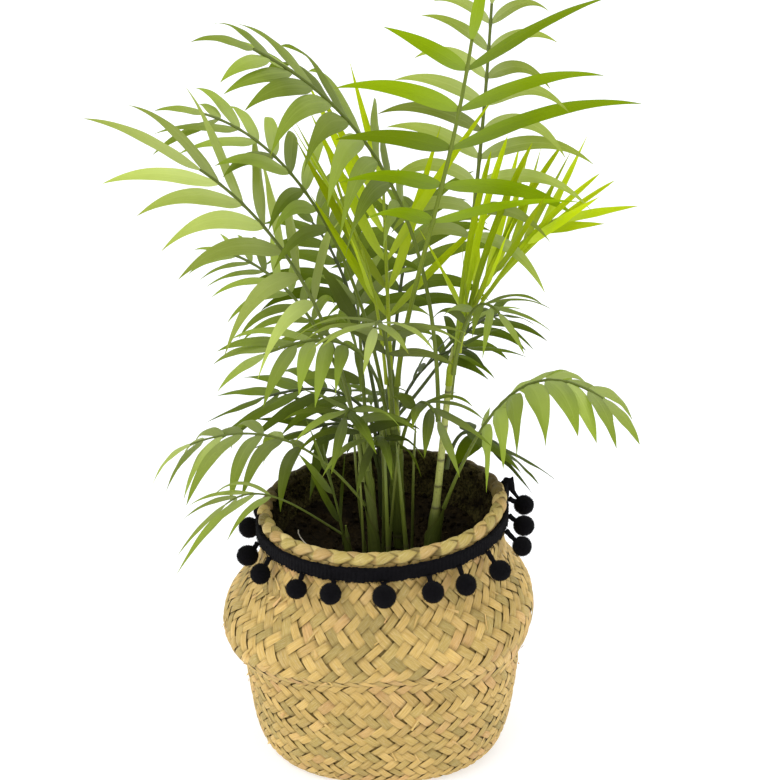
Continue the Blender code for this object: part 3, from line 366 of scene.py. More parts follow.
def basket_points(radius, height, angle):
    """Points of the basket's wall for arrays of radius, height and angle, as in the CAD source."""
    radius, height, angle = np.broadcast_arrays(*(np.asarray(v, float) for v in (radius, height, angle)))
    reach = radius * (1 - BASE_SQUARE * (1 - smooth_step(height, SQUARE_FROM, SQUARE_TO)) * np.cos(4 * angle))
    bulge = BELLY_SHIFT * np.exp(-(((height - BELLY_HEIGHT) / BELLY_REACH) ** 2))
    crease = CREASE_DROP * np.exp(-(((height - CREASE_HEIGHT) / CREASE_REACH) ** 2))
    x = reach * np.cos(angle) + bulge
    lean = LEAN * x * smooth_step(height, LEAN_FROM, LEAN_TO)
    return np.stack([x, reach * np.sin(angle), height - crease * np.cos(2 * angle) + lean], axis=-1)


def rim_tube(radius, turn, angle):
    """A tube of one radius all along the rim."""
    return basket_points(RIM_RADIUS + radius * np.cos(turn), RIM_HEIGHT + radius * np.sin(turn), angle)


def unit(vector):
    return vector / np.linalg.norm(vector)


def units(vectors):
    return vectors / np.maximum(np.linalg.norm(vectors, axis=-1, keepdims=True), 1e-12)


def circle(count):
    return np.linspace(0, TAU, count, endpoint=False)


def lengths_along(line):
    return np.concatenate([[0.0], np.cumsum(np.linalg.norm(np.diff(line, axis=0), axis=1))])


def chance_of(numbers):
    """A repeatable draw from 0 to 1 for each number."""
    return np.modf(np.abs(np.sin(numbers) * 43758.5453))[0]


def each_point(parts, shape):
    """One row of values for each point. A part is a number, one value for each row of the grid, or a grid."""
    parts = [part[:, None] if np.ndim(part) == 1 else part for part in parts]
    return np.column_stack([np.broadcast_to(part, shape).ravel() for part in parts])


def add_object(name, data):
    made = bpy.data.objects.new(name, data)
    bpy.context.scene.collection.objects.link(made)
    return made


class Cloth:
    """Gathers grids of points into one mesh. place holds pattern coordinates, tint shares for colours."""

    def __init__(self):
        self.blocks = []
        self.count = 0

    def add(self, points, faces, shape, place, tint, slot):
        self.blocks.append((
            points, faces + self.count, each_point(place, shape), each_point(tint, shape),
            np.full(len(faces), slot)))
        self.count += len(points)

    def grid(self, points, place=(0.0, 0.0), tint=(0.0, 0.0, 0.0), around=False, slot=0):
        """Adds a grid of rows by columns. With around, the last column joins the first."""
        shape = points.shape[:2]
        index = np.arange(shape[0] * shape[1]).reshape(shape)
        right = np.roll(index, -1, axis=1) if around else index[:, 1:]
        left = index if around else index[:, :-1]
        quads = np.stack([left[:-1], right[:-1], right[1:], left[1:]], axis=-1).reshape(-1, 4)
        self.add(points.reshape(-1, 3), quads, shape, place, tint, slot)

    def triangles(self, points, faces, place=(0.0, 0.0), tint=(0.0, 0.0, 0.0)):
        self.add(points, faces, (len(points), 1), place, tint, 0)

    def build(self, name, *materials):
        points, faces, place, tint, slots = zip(*self.blocks)
        faces = [face for block in faces for face in block.tolist()]
        mesh = bpy.data.meshes.new(name)
        mesh.from_pydata(np.concatenate(points).tolist(), [], faces)
        for key, kind, values in (("Place", "FLOAT2", place), ("Tint", "FLOAT_VECTOR", tint)):
            mesh.attributes.new(key, kind, "POINT").data.foreach_set("vector", np.concatenate(values).ravel())
        mesh.polygons.foreach_set("material_index", np.concatenate(slots).astype(np.int32))
        for material in materials:
            mesh.materials.append(material)
        mesh.shade_smooth()
        return add_object(name, mesh)


def tube_rings(centres, radii, sides, flat=1.0, up=(0.0, 0.0, 1.0)):
    """Rings of points round a line of centres. flat squeezes them towards up."""
    along = units(np.gradient(centres, axis=0))
    across = units(np.cross(along, up))
    over = np.cross(across, along)
    turn = circle(sides)[None, :, None]
    radii = np.broadcast_to(radii, len(centres))[:, None, None]
    ring = across[:, None, :] * np.cos(turn) + flat * over[:, None, :] * np.sin(turn)
    return centres[:, None, :] + radii * ring


def add_spikes(cloth, base, reach, corner, rng, tint=(0.0, 0.0, 0.0)):
    """Three-sided points, as of yarn, from each base along each reach."""
    lean = units(reach)
    side = units(np.cross(lean, rng.normal(0, 1, lean.shape)))
    over = np.cross(lean, side)
    ring = [base + corner * (math.cos(a) * side + math.sin(a) * over) for a in (0, TAU / 3, 2 * TAU / 3)]
    spikes = np.stack([*ring, base + reach], axis=1).reshape(-1, 3)
    start = 4 * np.arange(len(base))[:, None]
    cones = np.concatenate([start + np.array(corners) for corners in ((0, 1, 3), (1, 2, 3), (2, 0, 3))])
    cloth.triangles(spikes, cones, tint=tint)


def ball(subdivisions):
    """Points and triangles of an even unit ball."""
    bm = bmesh.new()
    bmesh.ops.create_icosphere(bm, subdivisions=subdivisions, radius=1.0)
    points = np.array([v.co[:] for v in bm.verts])
    faces = np.array([[v.index for v in f.verts] for f in bm.faces])
    bm.free()
    return points, faces


def crumb(points, size, rng, low, high):
    """A ball's points made into an uneven crumb."""
    return size * (points * rng.uniform(low, high, 3) * (1 + 0.25 * rng.uniform(-1, 1, (len(points), 1))))


def place_piece(piece, slot, *nodes):
    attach(piece, "root")
    if nodes:
        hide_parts(*nodes)


class Look:
    """One procedural material, built node by node."""

    def __init__(self, name):
        self.material = bpy.data.materials.new(name)
        self.material.use_nodes = True
        self.tree = self.material.node_tree
        self.shader = self.tree.nodes["Principled BSDF"]

    def node(self, kind, **settings):
        made = self.tree.nodes.new(kind)
        for key, value in settings.items():
            setattr(made, key, value)
        return made

    def feed(self, socket, value):
        """Links or sets a socket. A colour of three parts gets its alpha."""
        if isinstance(value, bpy.types.NodeSocket):
            self.tree.links.new(value, socket)
        elif isinstance(value, tuple) and socket.type == "RGBA":
            socket.default_value = (*value, 1.0)
        elif value is not None:
            socket.default_value = value

    def parts(self, name):
        split = self.node("ShaderNodeSeparateXYZ")
        self.feed(split.inputs[0], self.node("ShaderNodeAttribute", attribute_name=name).outputs["Vector"])
        return split.outputs

    def read(self):
        """Reads the place across and along the piece, and gives the tint's three shares."""
        self.across, self.along, _ = self.parts("Place")
        return self.parts("Tint")

    def noise(self, scale, detail=3.0, rough=0.55, vector=None):
        """Noise at the point in space, or at a vector."""
        made = self.node("ShaderNodeTexNoise")
        self.feed(made.inputs["Vector"], vector or self.node("ShaderNodeTexCoord").outputs["Object"])
        for name, value in (("Scale", scale), ("Detail", detail), ("Roughness", rough)):
            made.inputs[name].default_value = value
        return made.outputs[0]

    def streaks(self, across, along, detail, third=0.0, rough=0.55):
        """Noise stretched along the piece."""
        made = self.node("ShaderNodeCombineXYZ")
        stretched = self.times(self.across, across), self.times(self.along, along), third
        for socket, value in zip(made.inputs, stretched):
            self.feed(socket, value)
        return self.noise(1.0, detail, rough, made.outputs[0])

    def math(self, operation, a, b=None, clamp=False):
        made = self.node("ShaderNodeMath", operation=operation, use_clamp=clamp)
        self.feed(made.inputs[0], a)
        self.feed(made.inputs[1], b)
        return made.outputs[0]

    def times(self, a, b):
        return self.math("MULTIPLY", a, b)

    def plus(self, a, b):
        return self.math("ADD", a, b)

    def spread(self, value, low, high, to_low=0.0, to_high=1.0):
        made = self.node("ShaderNodeMapRange")
        self.feed(made.inputs[0], value)
        for socket, number in zip(made.inputs[1:5], (low, high, to_low, to_high)):
            socket.default_value = number
        return made.outputs[0]

    def mix(self, share, a, b, blend="MIX"):
        made = self.node("ShaderNodeMix", data_type="RGBA", blend_type=blend)
        for number, value in ((0, share), (6, a), (7, b)):
            self.feed(made.inputs[number], value)
        return made.outputs[2]

    def speckle(self, colour, scale, detail, low, high, most, other):
        """Small spots of another colour."""
        return self.mix(self.spread(self.noise(scale, detail), low, high, 0.0, most), colour, other)

    def scaled(self, colour, amount):
        made = self.node("ShaderNodeVectorMath", operation="SCALE")
        self.feed(made.inputs[0], colour)
        self.feed(made.inputs["Scale"], amount)
        return made.outputs[0]

    def ramp(self, share, stops):
        made = self.node("ShaderNodeValToRGB")
        self.feed(made.inputs[0], share)
        points = made.color_ramp.elements
        while len(points) < len(stops):
            points.new(0.5)
        for point, (position, colour) in zip(points, stops):
            point.position = position
            point.color = (*colour, 1.0)
        return made.outputs[0]

    def bump(self, height, strength, distance):
        made = self.node("ShaderNodeBump")
        made.inputs["Strength"].default_value = strength
        made.inputs["Distance"].default_value = distance
        self.feed(made.inputs["Height"], height)
        return made.outputs[0]

    def surface(self, colour, rough, normal=None, **constants):
        self.feed(self.shader.inputs["Base Color"], colour)
        self.feed(self.shader.inputs["Roughness"], rough)
        self.feed(self.shader.inputs["Normal"], normal)
        for name, value in constants.items():
            self.shader.inputs[name.replace("_", " ")].default_value = value
        return self.material

    def let_light_through(self, colour, share):
        """Mixes in a share of light that comes through from the other side."""
        back = self.node("ShaderNodeBsdfTranslucent")
        self.feed(back.inputs["Color"], colour)
        both = self.node("ShaderNodeMixShader")
        for number, value in ((0, share), (1, self.shader.outputs[0]), (2, back.outputs[0])):
            self.feed(both.inputs[number], value)
        self.feed(self.tree.nodes["Material Output"].inputs["Surface"], both.outputs[0])
        return self.material


def leaf_look(tone):
    """A leaf: greens mixed by the tint, a painted grey sheen at the foot, painted light through the leaf at
    the tip, with fine long veins.
    """
    dark, light, through, share = LEAF_TONES[tone]
    # The first colour is a painted sheen, the second painted light through the leaf
    sheen_grey = tuple(0.45 * part + 0.38 * light[1] for part in light)
    tip = tuple(0.72 * part for part in through)
    rib_colour = tuple(min(1.0, 1.4 * part) for part in light)
    look = Look(f"leaf_{tone}")
    hue, value, reach = look.read()
    lightness = look.plus(look.times(hue, 0.75), look.times(look.noise(28.0), 0.30))
    base = look.mix(look.spread(lightness, 0.12, 0.88), dark, light)
    base = look.mix(look.spread(look.streaks(9.0, 22.0, 2.0), 0.35, 0.75, 0.0, 0.20), base, light)
    # painted sheen towards the foot, painted light through the leaf towards the tip
    base = look.mix(look.spread(reach, 0.0, 0.45, LEAF_SHEEN_GREY, 0.0), base, sheen_grey)
    base = look.mix(look.spread(reach, 0.40, 1.0, 0.0, 0.60), base, tip)
    rib = look.spread(look.math("ABSOLUTE", look.across), 0.05, 0.13, 1.0, 0.0)
    base = look.mix(look.times(rib, 0.08), base, rib_colour)
    base = look.mix(look.spread(reach, 1.0, 2.0), base, (0.30, 0.24, 0.06))
    veins = look.math("SINE", look.times(look.across, 26.0))
    normal = look.bump(look.plus(look.times(veins, 0.3), look.times(rib, 1.0)), 0.35, 0.0004)
    colour = look.scaled(base, look.spread(value, 0.0, 1.0, 0.30, 1.44))
    look.surface(colour, LEAF_ROUGH, normal, Specular_IOR_Level=LEAF_GLOSS)
    bright = look.times(look.spread(hue, 0.0, 1.0, 0.5, 1.25), look.spread(value, 0.0, 1.0, 0.5, 1.2))
    return look.let_light_through(look.scaled(through, bright), share)


def stalk_look(tone):
    """A leaf stalk or its sheath: lengthwise streaks, paler towards the foot."""
    look = Look(f"stalk_{tone}")
    paler, shade, dry = look.read()
    streaks = look.streaks(7.0, 30.0, 3.0)
    share = look.plus(look.times(streaks, 0.8), look.times(paler, 0.5))
    colour = look.mix(look.spread(share, 0.25, 0.95), *STALK_TONES[tone])
    colour = look.speckle(colour, 900.0, 2.0, 0.62, 0.72, 0.45, (0.035, 0.045, 0.012))
    colour = look.mix(dry, colour, (0.26, 0.17, 0.07))
    # painted shade, down in the basket's mouth
    colour = look.mix(look.times(shade, 0.72), colour, (0.012, 0.016, 0.003))
    return look.surface(colour, 0.50, look.bump(streaks, 0.25, 0.0004), Specular_IOR_Level=0.30)


def cane_look():
    """Stems: green, and on the cane pale yellow-green between dark leaf scars, with fine specks."""
    look = Look("cane")
    paler, scar, shade = look.read()
    streaks = look.streaks(9.0, 60.0, 3.0)
    share = look.spread(streaks, 0.3, 0.7)
    pale = look.mix(share, (0.40, 0.46, 0.08), (0.68, 0.69, 0.22))
    green = look.mix(share, (0.095, 0.135, 0.010), (0.220, 0.270, 0.032))
    colour = look.mix(paler, green, pale)
    # painted shade, down in the basket's mouth
    colour = look.mix(look.times(shade, 0.72), colour, (0.020, 0.024, 0.006))
    colour = look.speckle(colour, 700.0, 2.0, 0.60, 0.70, 0.5, (0.07, 0.06, 0.025))
    colour = look.mix(scar, colour, (0.055, 0.045, 0.02))
    return look.surface(colour, 0.42, look.bump(streaks, 0.3, 0.0004))


def straw_look(name, tones, under_shade_share):
    """Dried seagrass: lengthwise fibres, toned by the tint, with painted shade where it dives under, and
    beyond 1 a painted shade in the peat's colour.
    """
    look = Look(name)
    tone, value, under = look.read()
    fibre = look.streaks(1500.0, 55.0, 3.0, tone, 0.6)
    fine = look.streaks(5200.0, 160.0, 2.0, tone)
    drift = look.times(look.noise(60.0, 2.0), 0.2)
    colour = look.ramp(look.spread(look.plus(tone, drift), 0.1, 1.1), tones)
    darker = look.mix(1.0, colour, (0.62, 0.52, 0.36), "MULTIPLY")
    colour = look.mix(look.spread(fibre, 0.35, 0.7, 0.0, 0.55), colour, darker)
    colour = look.mix(look.spread(fine, 0.52, 0.8, 0.0, 0.45), colour, (0.95, 0.86, 0.60))
    colour = look.speckle(colour, 230.0, 3.0, 0.64, 0.78, 0.5, (0.26, 0.15, 0.06))
    colour = look.scaled(colour, look.spread(value, 0.0, 1.0, 0.82, 1.14))
    # The tint's third share paints shade: where a strand dives under, and beyond 1 in the peat's colour
    colour = look.mix(look.times(look.math("MINIMUM", under, 1.0), under_shade_share), colour, (0.085, 0.048, 0.009))
    colour = look.mix(look.math("SUBTRACT", under, 1.0, clamp=True), colour, (0.042, 0.033, 0.008))
    normal = look.bump(look.plus(fibre, look.times(fine, 0.5)), 0.5, 0.0003)
    return look.surface(colour, look.spread(fibre, 0.2, 0.8, 0.50, 0.70), normal, Specular_IOR_Level=0.16)


def yarn_look():
    """Black knitted cotton with a slight sheen."""
    look = Look("cotton_yarn")
    fluff = look.noise(1500.0, 4.0, 0.7)
    colour = look.mix(look.spread(fluff, 0.35, 0.75), (0.0020, 0.0018, 0.0022), (0.0095, 0.0088, 0.0115))
    normal = look.bump(fluff, 0.9, 0.0006)
    return look.surface(colour, 0.97, normal, Sheen_Weight=0.02, Sheen_Roughness=0.6, Specular_IOR_Level=0.06)


def soil_look():
    """Peat: near black, partly as painted shade, with brown and paler crumbs, and moss by the tint's second
    share.
    """
    look = Look("peat")
    large, small = look.noise(70.0, 4.0, 0.65), look.noise(420.0, 5.0, 0.7)
    tint, moss, _ = look.parts("Tint")
    share = look.plus(look.plus(look.times(large, 0.6), look.times(small, 0.5)), look.times(tint, 0.25))
    colour = look.ramp(look.spread(share, 0.25, 1.05), PEAT_AND_SHADE_TONES)
    green = look.mix(look.spread(small, 0.38, 0.66), (0.012, 0.010, 0.003), (0.120, 0.100, 0.030))
    colour = look.mix(look.times(moss, look.spread(large, 0.35, 0.60)), colour, green)
    return look.surface(colour, 0.95, look.bump(small, 1.0, 0.0012), Specular_IOR_Level=0.10)


def pot_look():
    """Black nursery plastic, dusty with peat."""
    look = Look("nursery_plastic")
    dust = look.noise(160.0, 5.0, 0.7)
    colour = look.mix(look.spread(dust, 0.40, 0.62), (0.012, 0.012, 0.012), (0.045, 0.028, 0.016))
    return look.surface(colour, look.spread(dust, 0.40, 0.62, 0.45, 0.9), look.bump(dust, 0.5, 0.0008))


def root_look():
    look = Look("root")
    fibres = look.noise(500.0)
    colour = look.mix(look.spread(fibres, 0.3, 0.7), (0.62, 0.52, 0.42), (0.85, 0.78, 0.68))
    return look.surface(colour, 0.7, look.bump(fibres, 0.3, 0.0002))


def floor_look():
    look = Look("floor")
    colour = look.mix(look.spread(look.noise(3.0, 2.0), 0.3, 0.7), (0.49, 0.50, 0.52), (0.51, 0.52, 0.54))
    white = (1.0, 1.0, 1.0, 1.0)
    return look.surface(colour, 0.9, Specular_IOR_Level=0.1, Emission_Color=white, Emission_Strength=0.60)


def wall_profile():
    """The middle of the weave from base to mouth: even points, outward normals and crossings so far."""
    corners = np.array([*WALL_FOOT, *BASKET_OUTSIDE[1:-1], *WALL_TOP])
    padded = np.concatenate([[2 * corners[0] - corners[1]], corners, [2 * corners[-1] - corners[-2]]])
    t = np.linspace(0, 1, 12, endpoint=False)[:, None]
    line = []
    for a, b, c, d in zip(padded, padded[1:], padded[2:], padded[3:]):
        square, cube = (2 * a - 5 * b + 4 * c - d) * t ** 2, (3 * b - a - 3 * c + d) * t ** 3
        line.append(0.5 * (2 * b + (c - a) * t + square + cube))
    line = np.concatenate([*line, corners[-1:]])
    lengths = lengths_along(line)
    even = np.linspace(0, lengths[-1], 400)
    line = np.column_stack([np.interp(even, lengths, line[:, k]) for k in (0, 1)])
    along = units(np.gradient(line, axis=0))
    normal = np.column_stack([along[:, 1], -along[:, 0]])
    line[:, 0] -= np.minimum(WALL_IN, WALL_IN * normal[:, 0] + 0.0002)
    cell = CELL_LOW + (CELL_HIGH - CELL_LOW) * smooth_step(line[:, 1], CELL_FROM, CELL_TO)
    turns = np.concatenate([[0.0], np.cumsum(np.diff(even) / ((cell[1:] + cell[:-1]) / 2))])
    return line, normal, turns


def make_wall(straw):
    """The basket's wall: flat strands in two directions, each over two and under two of the others."""
    line, normal, turns = wall_profile()
    last = turns[-1]
    rng = np.random.default_rng(7)
    across = np.linspace(-1, 1, STRAND_COLUMNS)[None, :]
    other = np.linspace(0, 2 * last, int(2 * last * STRAND_ROWS))
    for family, name in ((1, "weave_rising_right"), (-1, "weave_rising_left")):
        cloth = Cloth()
        phase = other + (0.0 if family > 0 else 2.0)
        wave = np.cos(TAU * (phase - 3.5) / 4)
        lift = np.tanh(FLOAT_SHARP * wave) / math.tanh(FLOAT_SHARP)
        floats = np.floor((phase - 2.5) / 4)
        # painted shade where the strand dives under the others
        under = np.clip(0.55 - 1.1 * wave, 0, 1)
        for strand in range(STRANDS):
            draw = rng.uniform(-1, 1, 8)
            wobble = 0.10 * np.sin(other * 0.37 + 9 * draw[1]) + 0.07 * np.sin(other * 0.83 + 9 * draw[2])
            swell = 0.05 * np.sin(other * 0.6 + 7 * draw[7])
            wide = 0.5 * (STRAND_WIDTH + 0.09 * draw[0] + 0.05 * lift + swell)
            lateral = wobble[:, None] + wide[:, None] * across
            turn = np.clip((other[:, None] - lateral) / 2, 0.0, last)
            offset = STRAND_WAVE * lift[:, None] - STRAND_EDGE * np.abs(across) ** 3 + STRAND_UNEVEN * draw[3]
            radius, height = (
                np.interp(turn, turns, line[:, k]) + offset * np.interp(turn, turns, normal[:, k])
                for k in (0, 1))
            angle = TAU / STRANDS * (strand + lateral + turn) * family
            points = basket_points(radius, np.maximum(height, STRAND_LOWEST), angle)
            chance = chance_of(floats * 12.9898 + strand * 78.233 + family * 3.1)
            drift = 0.10 * np.sin(other * 0.3 + draw[5])
            tone = np.clip(0.5 + 0.24 * draw[4] + 0.44 * (chance - 0.5) + drift, 0, 1)
            value = np.clip(0.5 + 0.25 * draw[6] + 0.5 * (np.modf(chance * 7.3)[0] - 0.5), 0, 1)
            place = (0.004 * across + 0.05 * strand, other * STRAND_PATTERN)
            cloth.grid(points, place, (tone, value, under))
        place_piece(cloth.build(name, straw), "seagrass", "basket")


def make_lining(straw):
    """The inner layer of strands, painted dark as the shade that shows through the gaps of the weave."""
    cloth = Cloth()
    line, normal, _ = wall_profile()
    line, normal = line[12::8], normal[12::8]
    inner = line - LINING * normal
    angle = np.linspace(0, TAU, 181)[None, :]
    # a third share beyond 1 paints this layer with shade
    cloth.grid(basket_points(inner[:, :1], inner[:, 1:], angle), (line[:, 1], 0.1 * angle), (0.3, 0.3, 1.5))
    place_piece(cloth.build("lining", straw), "seagrass", "basket")


def make_slivers(straw):
    """Split ends of strands that curl off the wall."""
    cloth = Cloth()
    rng = np.random.default_rng(12)
    radii, heights = zip(*BASKET_OUTSIDE)
    t = np.linspace(0, 1, 7)[:, None]
    for _ in range(SLIVERS):
        bearing, middle = rng.uniform(-math.pi, math.pi), rng.uniform(*SLIVER_HEIGHTS)
        lean = rng.choice([-1, 1]) * rng.uniform(0.5, 1.2) + math.pi * (rng.uniform() < 0.5)
        length, half, curl = (rng.uniform(low, high) for low, high in SLIVER_SIZES)
        wide = half * (1 - t) ** 0.7 * np.array([[-1.0, 1.0]])
        height = np.clip(middle + length * math.sin(lean) * t + wide * math.cos(lean), *SLIVER_LIMITS)
        radius = np.interp(height, heights, radii)
        angle = bearing + (length * math.cos(lean) * t - wide * math.sin(lean)) / radius
        points = basket_points(radius + 0.0003 + curl * t ** 2, height, angle)
        place = (wide + rng.uniform(), length * t)
        cloth.grid(points, place, (rng.uniform(0.3, 1.0), rng.uniform(0.5, 1.0), 0.0))
    place_piece(cloth.build("split_ends", straw), "seagrass", "basket")


def make_base(straw):
    """The flat base: two layers of straight strands, woven square."""
    cloth = Cloth()
    rng = np.random.default_rng(11)
    count = int(BASE_REACH / BASE_PITCH)
    across = np.linspace(-1, 1, 4)[None, :]
    for turned in (0, 1):
        for strand in range(-count, count + 1):
            middle = strand * BASE_PITCH
            half = math.sqrt(BASE_REACH ** 2 - middle ** 2)
            tone, value, _ = rng.uniform(0, 1, 3)
            along = np.linspace(-half, half, max(int(half * 2 / BASE_STEP), 4))
            phase = along / BASE_PITCH + strand + 2 * turned
            lift = np.tanh(FLOAT_SHARP * np.cos(TAU * phase / 4)) * BASE_WAVE
            x, y, z = np.broadcast_arrays(
                along[:, None], middle + BASE_WIDTH * BASE_PITCH * across,
                BASE_MIDDLE - lift[:, None] + 0.0002 * np.abs(across) ** 3)
            points = np.stack([y, x, z] if turned else [x, y, z], axis=-1)
            cloth.grid(points, (0.004 * across + 0.05 * strand, along), (tone, value, 0.0))
    place_piece(cloth.build("base_weave", straw), "seagrass", "basket")


def make_rim(straw):
    """The rim: a flat plait of three strands, bent over a core along the mouth."""
    cloth = Cloth()
    length = TAU * RIM_RADIUS
    travel = np.linspace(0, length, PLAIT_PERIODS * PLAIT_ROWS + 1)
    rng = np.random.default_rng(5)
    wander = 0.0005 * np.sin(travel / length * TAU * 7 + 1.0) + 0.0004 * np.sin(travel / length * TAU * 17)
    across = np.linspace(-1, 1, 9)[None, :]
    for strand in range(3):
        phase = TAU * (PLAIT_PERIODS * travel / length + strand / 3)
        sideways = PLAIT_SWING * np.arcsin(PLAIT_POINT * np.sin(phase)) / math.asin(PLAIT_POINT) + wander
        lift = -PLAIT_LIFT * np.sin(2 * phase)
        slope = np.gradient(sideways, travel)
        norm = np.sqrt(1 + slope ** 2)
        shift = (0.5 * PLAIT_WIDTH * (1 + 0.08 * np.sin(phase * 0.5 + strand)))[:, None] * across
        angle = (travel[:, None] - shift * (slope / norm)[:, None]) / RIM_RADIUS
        over = sideways[:, None] + shift / norm[:, None]
        out = PLAIT_TUBE + PLAIT_OUT + lift[:, None] + PLAIT_CROWN * (1 - np.abs(across) ** 4) - PLAIT_EDGE
        turn = over / (PLAIT_TUBE + PLAIT_EDGE)
        points = basket_points(RIM_RADIUS + out * np.sin(turn), RIM_HEIGHT + out * np.cos(turn), angle)
        chance = chance_of(np.floor(phase / math.pi + 0.5) * 12.9898 + strand * 4.1)
        tone = np.clip(chance + 0.1 * rng.uniform(-1, 1), 0, 1)
        value = np.clip(0.50 + 0.9 * (np.modf(chance * 5.7)[0] - 0.5), 0, 1)
        # Painted shade where a plait strand dips under the next and along its edges, and painted shade in the
        # peat's colour on the rim's inside at the back
        under = np.clip(0.20 - lift / PLAIT_LIFT, 0, 1)[:, None]
        back_shade = smooth_step(np.sin(angle), -0.05, 0.60) * smooth_step(-over, -0.0045, 0.001)
        edge = smooth_step(np.abs(across), 0.74, 1.0)
        under = np.where(back_shade > 0.02, 1 + RIM_BACK_SHADE * back_shade, np.maximum(under, edge))
        cloth.grid(points, (0.0045 * across + strand, travel), (tone, value, under))
    angle = np.linspace(0, TAU, 181)[:, None]
    turn = circle(12)[None, :]
    points = rim_tube(PLAIT_CORE, turn, angle)
    # the core under the plait gets painted shade by the tint's third share
    cloth.grid(points, (turn * 0.01, angle * RIM_RADIUS), (0.3, 0.3, 0.8), around=True)
    place_piece(cloth.build("plaited_rim", straw), "seagrass_rim", "braided_rim")


def tail_share(angle):
    return np.maximum(0.0, 1.0 - np.abs(angle - TAIL_BEARING) / TAIL_SPREAD)


def make_band(yarn):
    """The knitted band: a ribbed strip with a looped edge, whose loose end stands up outside the rim."""
    cloth = Cloth()
    angle = np.linspace(-math.pi, math.pi, 720, endpoint=False)
    extra = TAIL_BEARING + TAIL_SPREAD * np.linspace(-1, 1, 31)
    angle = np.unique(np.concatenate([angle[np.abs(angle - TAIL_BEARING) > TAIL_SPREAD], extra]))
    angle = np.append(angle, angle[0] + TAU)
    up = tail_share(np.where(angle > math.pi, angle - TAU, angle))
    outward, upward = np.array(BAND_SECTION).T[:, None, :]
    stitch = 0.5 + 0.5 * np.sin(angle * STITCHES)
    uneven = 0.00035 * np.sin(angle * 23 + 1.0) + 0.00030 * np.sin(angle * 59)
    uneven = uneven + 0.00020 * np.sin(angle * 101 + 2.0)
    low = KNIT_LOW + up * TAIL_RAISE - STITCH_LOOP * stitch + uneven
    high = KNIT_HIGH + np.minimum(1.0, 2 * up) * (KNIT_TAIL - KNIT_HIGH)
    high = high + STITCH_LOOP * (1 - stitch) - 0.7 * uneven[::-1]
    thick = BAND_THICKNESS * outward * (0.86 + 0.2 * stitch[:, None])
    radius = (BAND_INSIDE + up * TAIL_OUT)[:, None] + thick
    height = low[:, None] + (high - low)[:, None] * upward
    cloth.grid(basket_points(radius, height, angle[:, None]), around=True)
    turn = circle(14)
    rows = []
    for row, (reach, rise, half) in enumerate(FLAP):
        out = reach + half * np.cos(turn) * (1 + 0.07 * math.sin(5 * row))
        side = FLAP_THICKNESS * np.sin(turn) * (0.4 if row == 0 else 1)
        rise = rise + 0.0007 * np.cos(3 * turn) * (row < 2)
        rows.append(basket_points(out, rise, TAIL_BEARING + side / reach))
    cloth.grid(np.array(rows), around=True)
    add_fluff(cloth)
    place_piece(cloth.build("knitted_band", yarn), "cotton_band", "trim_band")


def add_fluff(cloth):
    """Short fibres that stand off the band's face and edges."""
    rng = np.random.default_rng(9)
    angle = rng.uniform(-math.pi, math.pi, FLUFF)
    angle = angle[tail_share(angle) == 0]
    count = len(angle)
    share = np.where(rng.uniform(size=count) < 0.5, rng.choice([0.0, 1.0], count), rng.uniform(0, 1, count))
    height = KNIT_LOW + (KNIT_HIGH - KNIT_LOW) * share
    face = basket_points(BAND_INSIDE + BAND_THICKNESS, height, angle)
    inside, outside = (basket_points(BAND_INSIDE + out, height, angle) for out in (0, 0.01))
    lean = units(outside - inside) * rng.uniform(0.2, 1.0, (count, 1))
    lean = units(lean + np.array([0, 0, 1.0]) * (share - 0.5)[:, None] * 2.4 + rng.normal(0, 0.35, (count, 3)))
    reach = lean * rng.uniform(*FLUFF_LENGTH, (count, 1))
    add_spikes(cloth, face - lean * FLUFF_ROOT, reach, FLUFF_THICK, rng)


def even_directions(count):
    """Directions spread evenly over a ball."""
    index = np.arange(count) + 0.5
    up = 1 - 2 * index / count
    turn = math.pi * (1 + math.sqrt(5)) * index
    flat = np.sqrt(1 - up ** 2)
    return np.column_stack([flat * np.cos(turn), flat * np.sin(turn), up])


def make_pompoms(yarn):
    """Fuzzy balls of cut yarn, each hanging from the band on its own cord."""
    points, faces = ball(4)
    tufts = even_directions(POMPOM_TUFTS)
    t = np.linspace(0, 1, 9)
    for number, (bearing, reach, height) in enumerate(POMPOMS, start=1):
        rng = np.random.default_rng(200 + number)
        angle = math.radians(bearing)
        up = float(tail_share(angle))
        centre = basket_points(reach, height, angle)
        root_reach = BAND_INSIDE + BAND_THICKNESS + 0.4 * POMPOM_STALK + TAIL_OUT * up
        root = basket_points(root_reach, POMPOM_ROOT + TAIL_RAISE * up, angle)
        squash = POMPOM_SIZES.get(number, POMPOM_SIZE) * (1 + rng.uniform(-0.05, 0.05, 3))
        rough, fine = (
            np.array([noise.noise(Vector(p * scale + number)) for p in points]) for scale in (3.1, 11.0))
        size = POMPOM_RADIUS * (0.955 + 0.035 * rough + 0.035 * fine)
        cloth = Cloth()
        cloth.triangles(centre + points * squash * size[:, None], faces)
        lean = units(tufts + rng.normal(0, 0.25, tufts.shape))
        base = centre + tufts * squash * POMPOM_RADIUS * 0.93
        tuft_reach = lean * POMPOM_RADIUS * rng.uniform(*TUFT_LENGTH, (len(tufts), 1))
        add_spikes(cloth, base, tuft_reach, TUFT_THICK, rng)
        line = t[:, None] * (centre - unit(centre - root) * 0.6 * POMPOM_RADIUS - root) + root
        line[:, 2] -= 0.0006 * np.sin(math.pi * t)
        thick = POMPOM_STALK * (1.25 - 0.3 * t + 0.1 * np.sin(np.arange(9) * 2.2))
        cloth.grid(tube_rings(line, thick, 8, up=(0.3, 0.2, 0.9)), around=True)
        place_piece(cloth.build(f"yarn_pompom_{number:02d}", yarn), "cotton_pompom", f"pompom_{number:02d}")


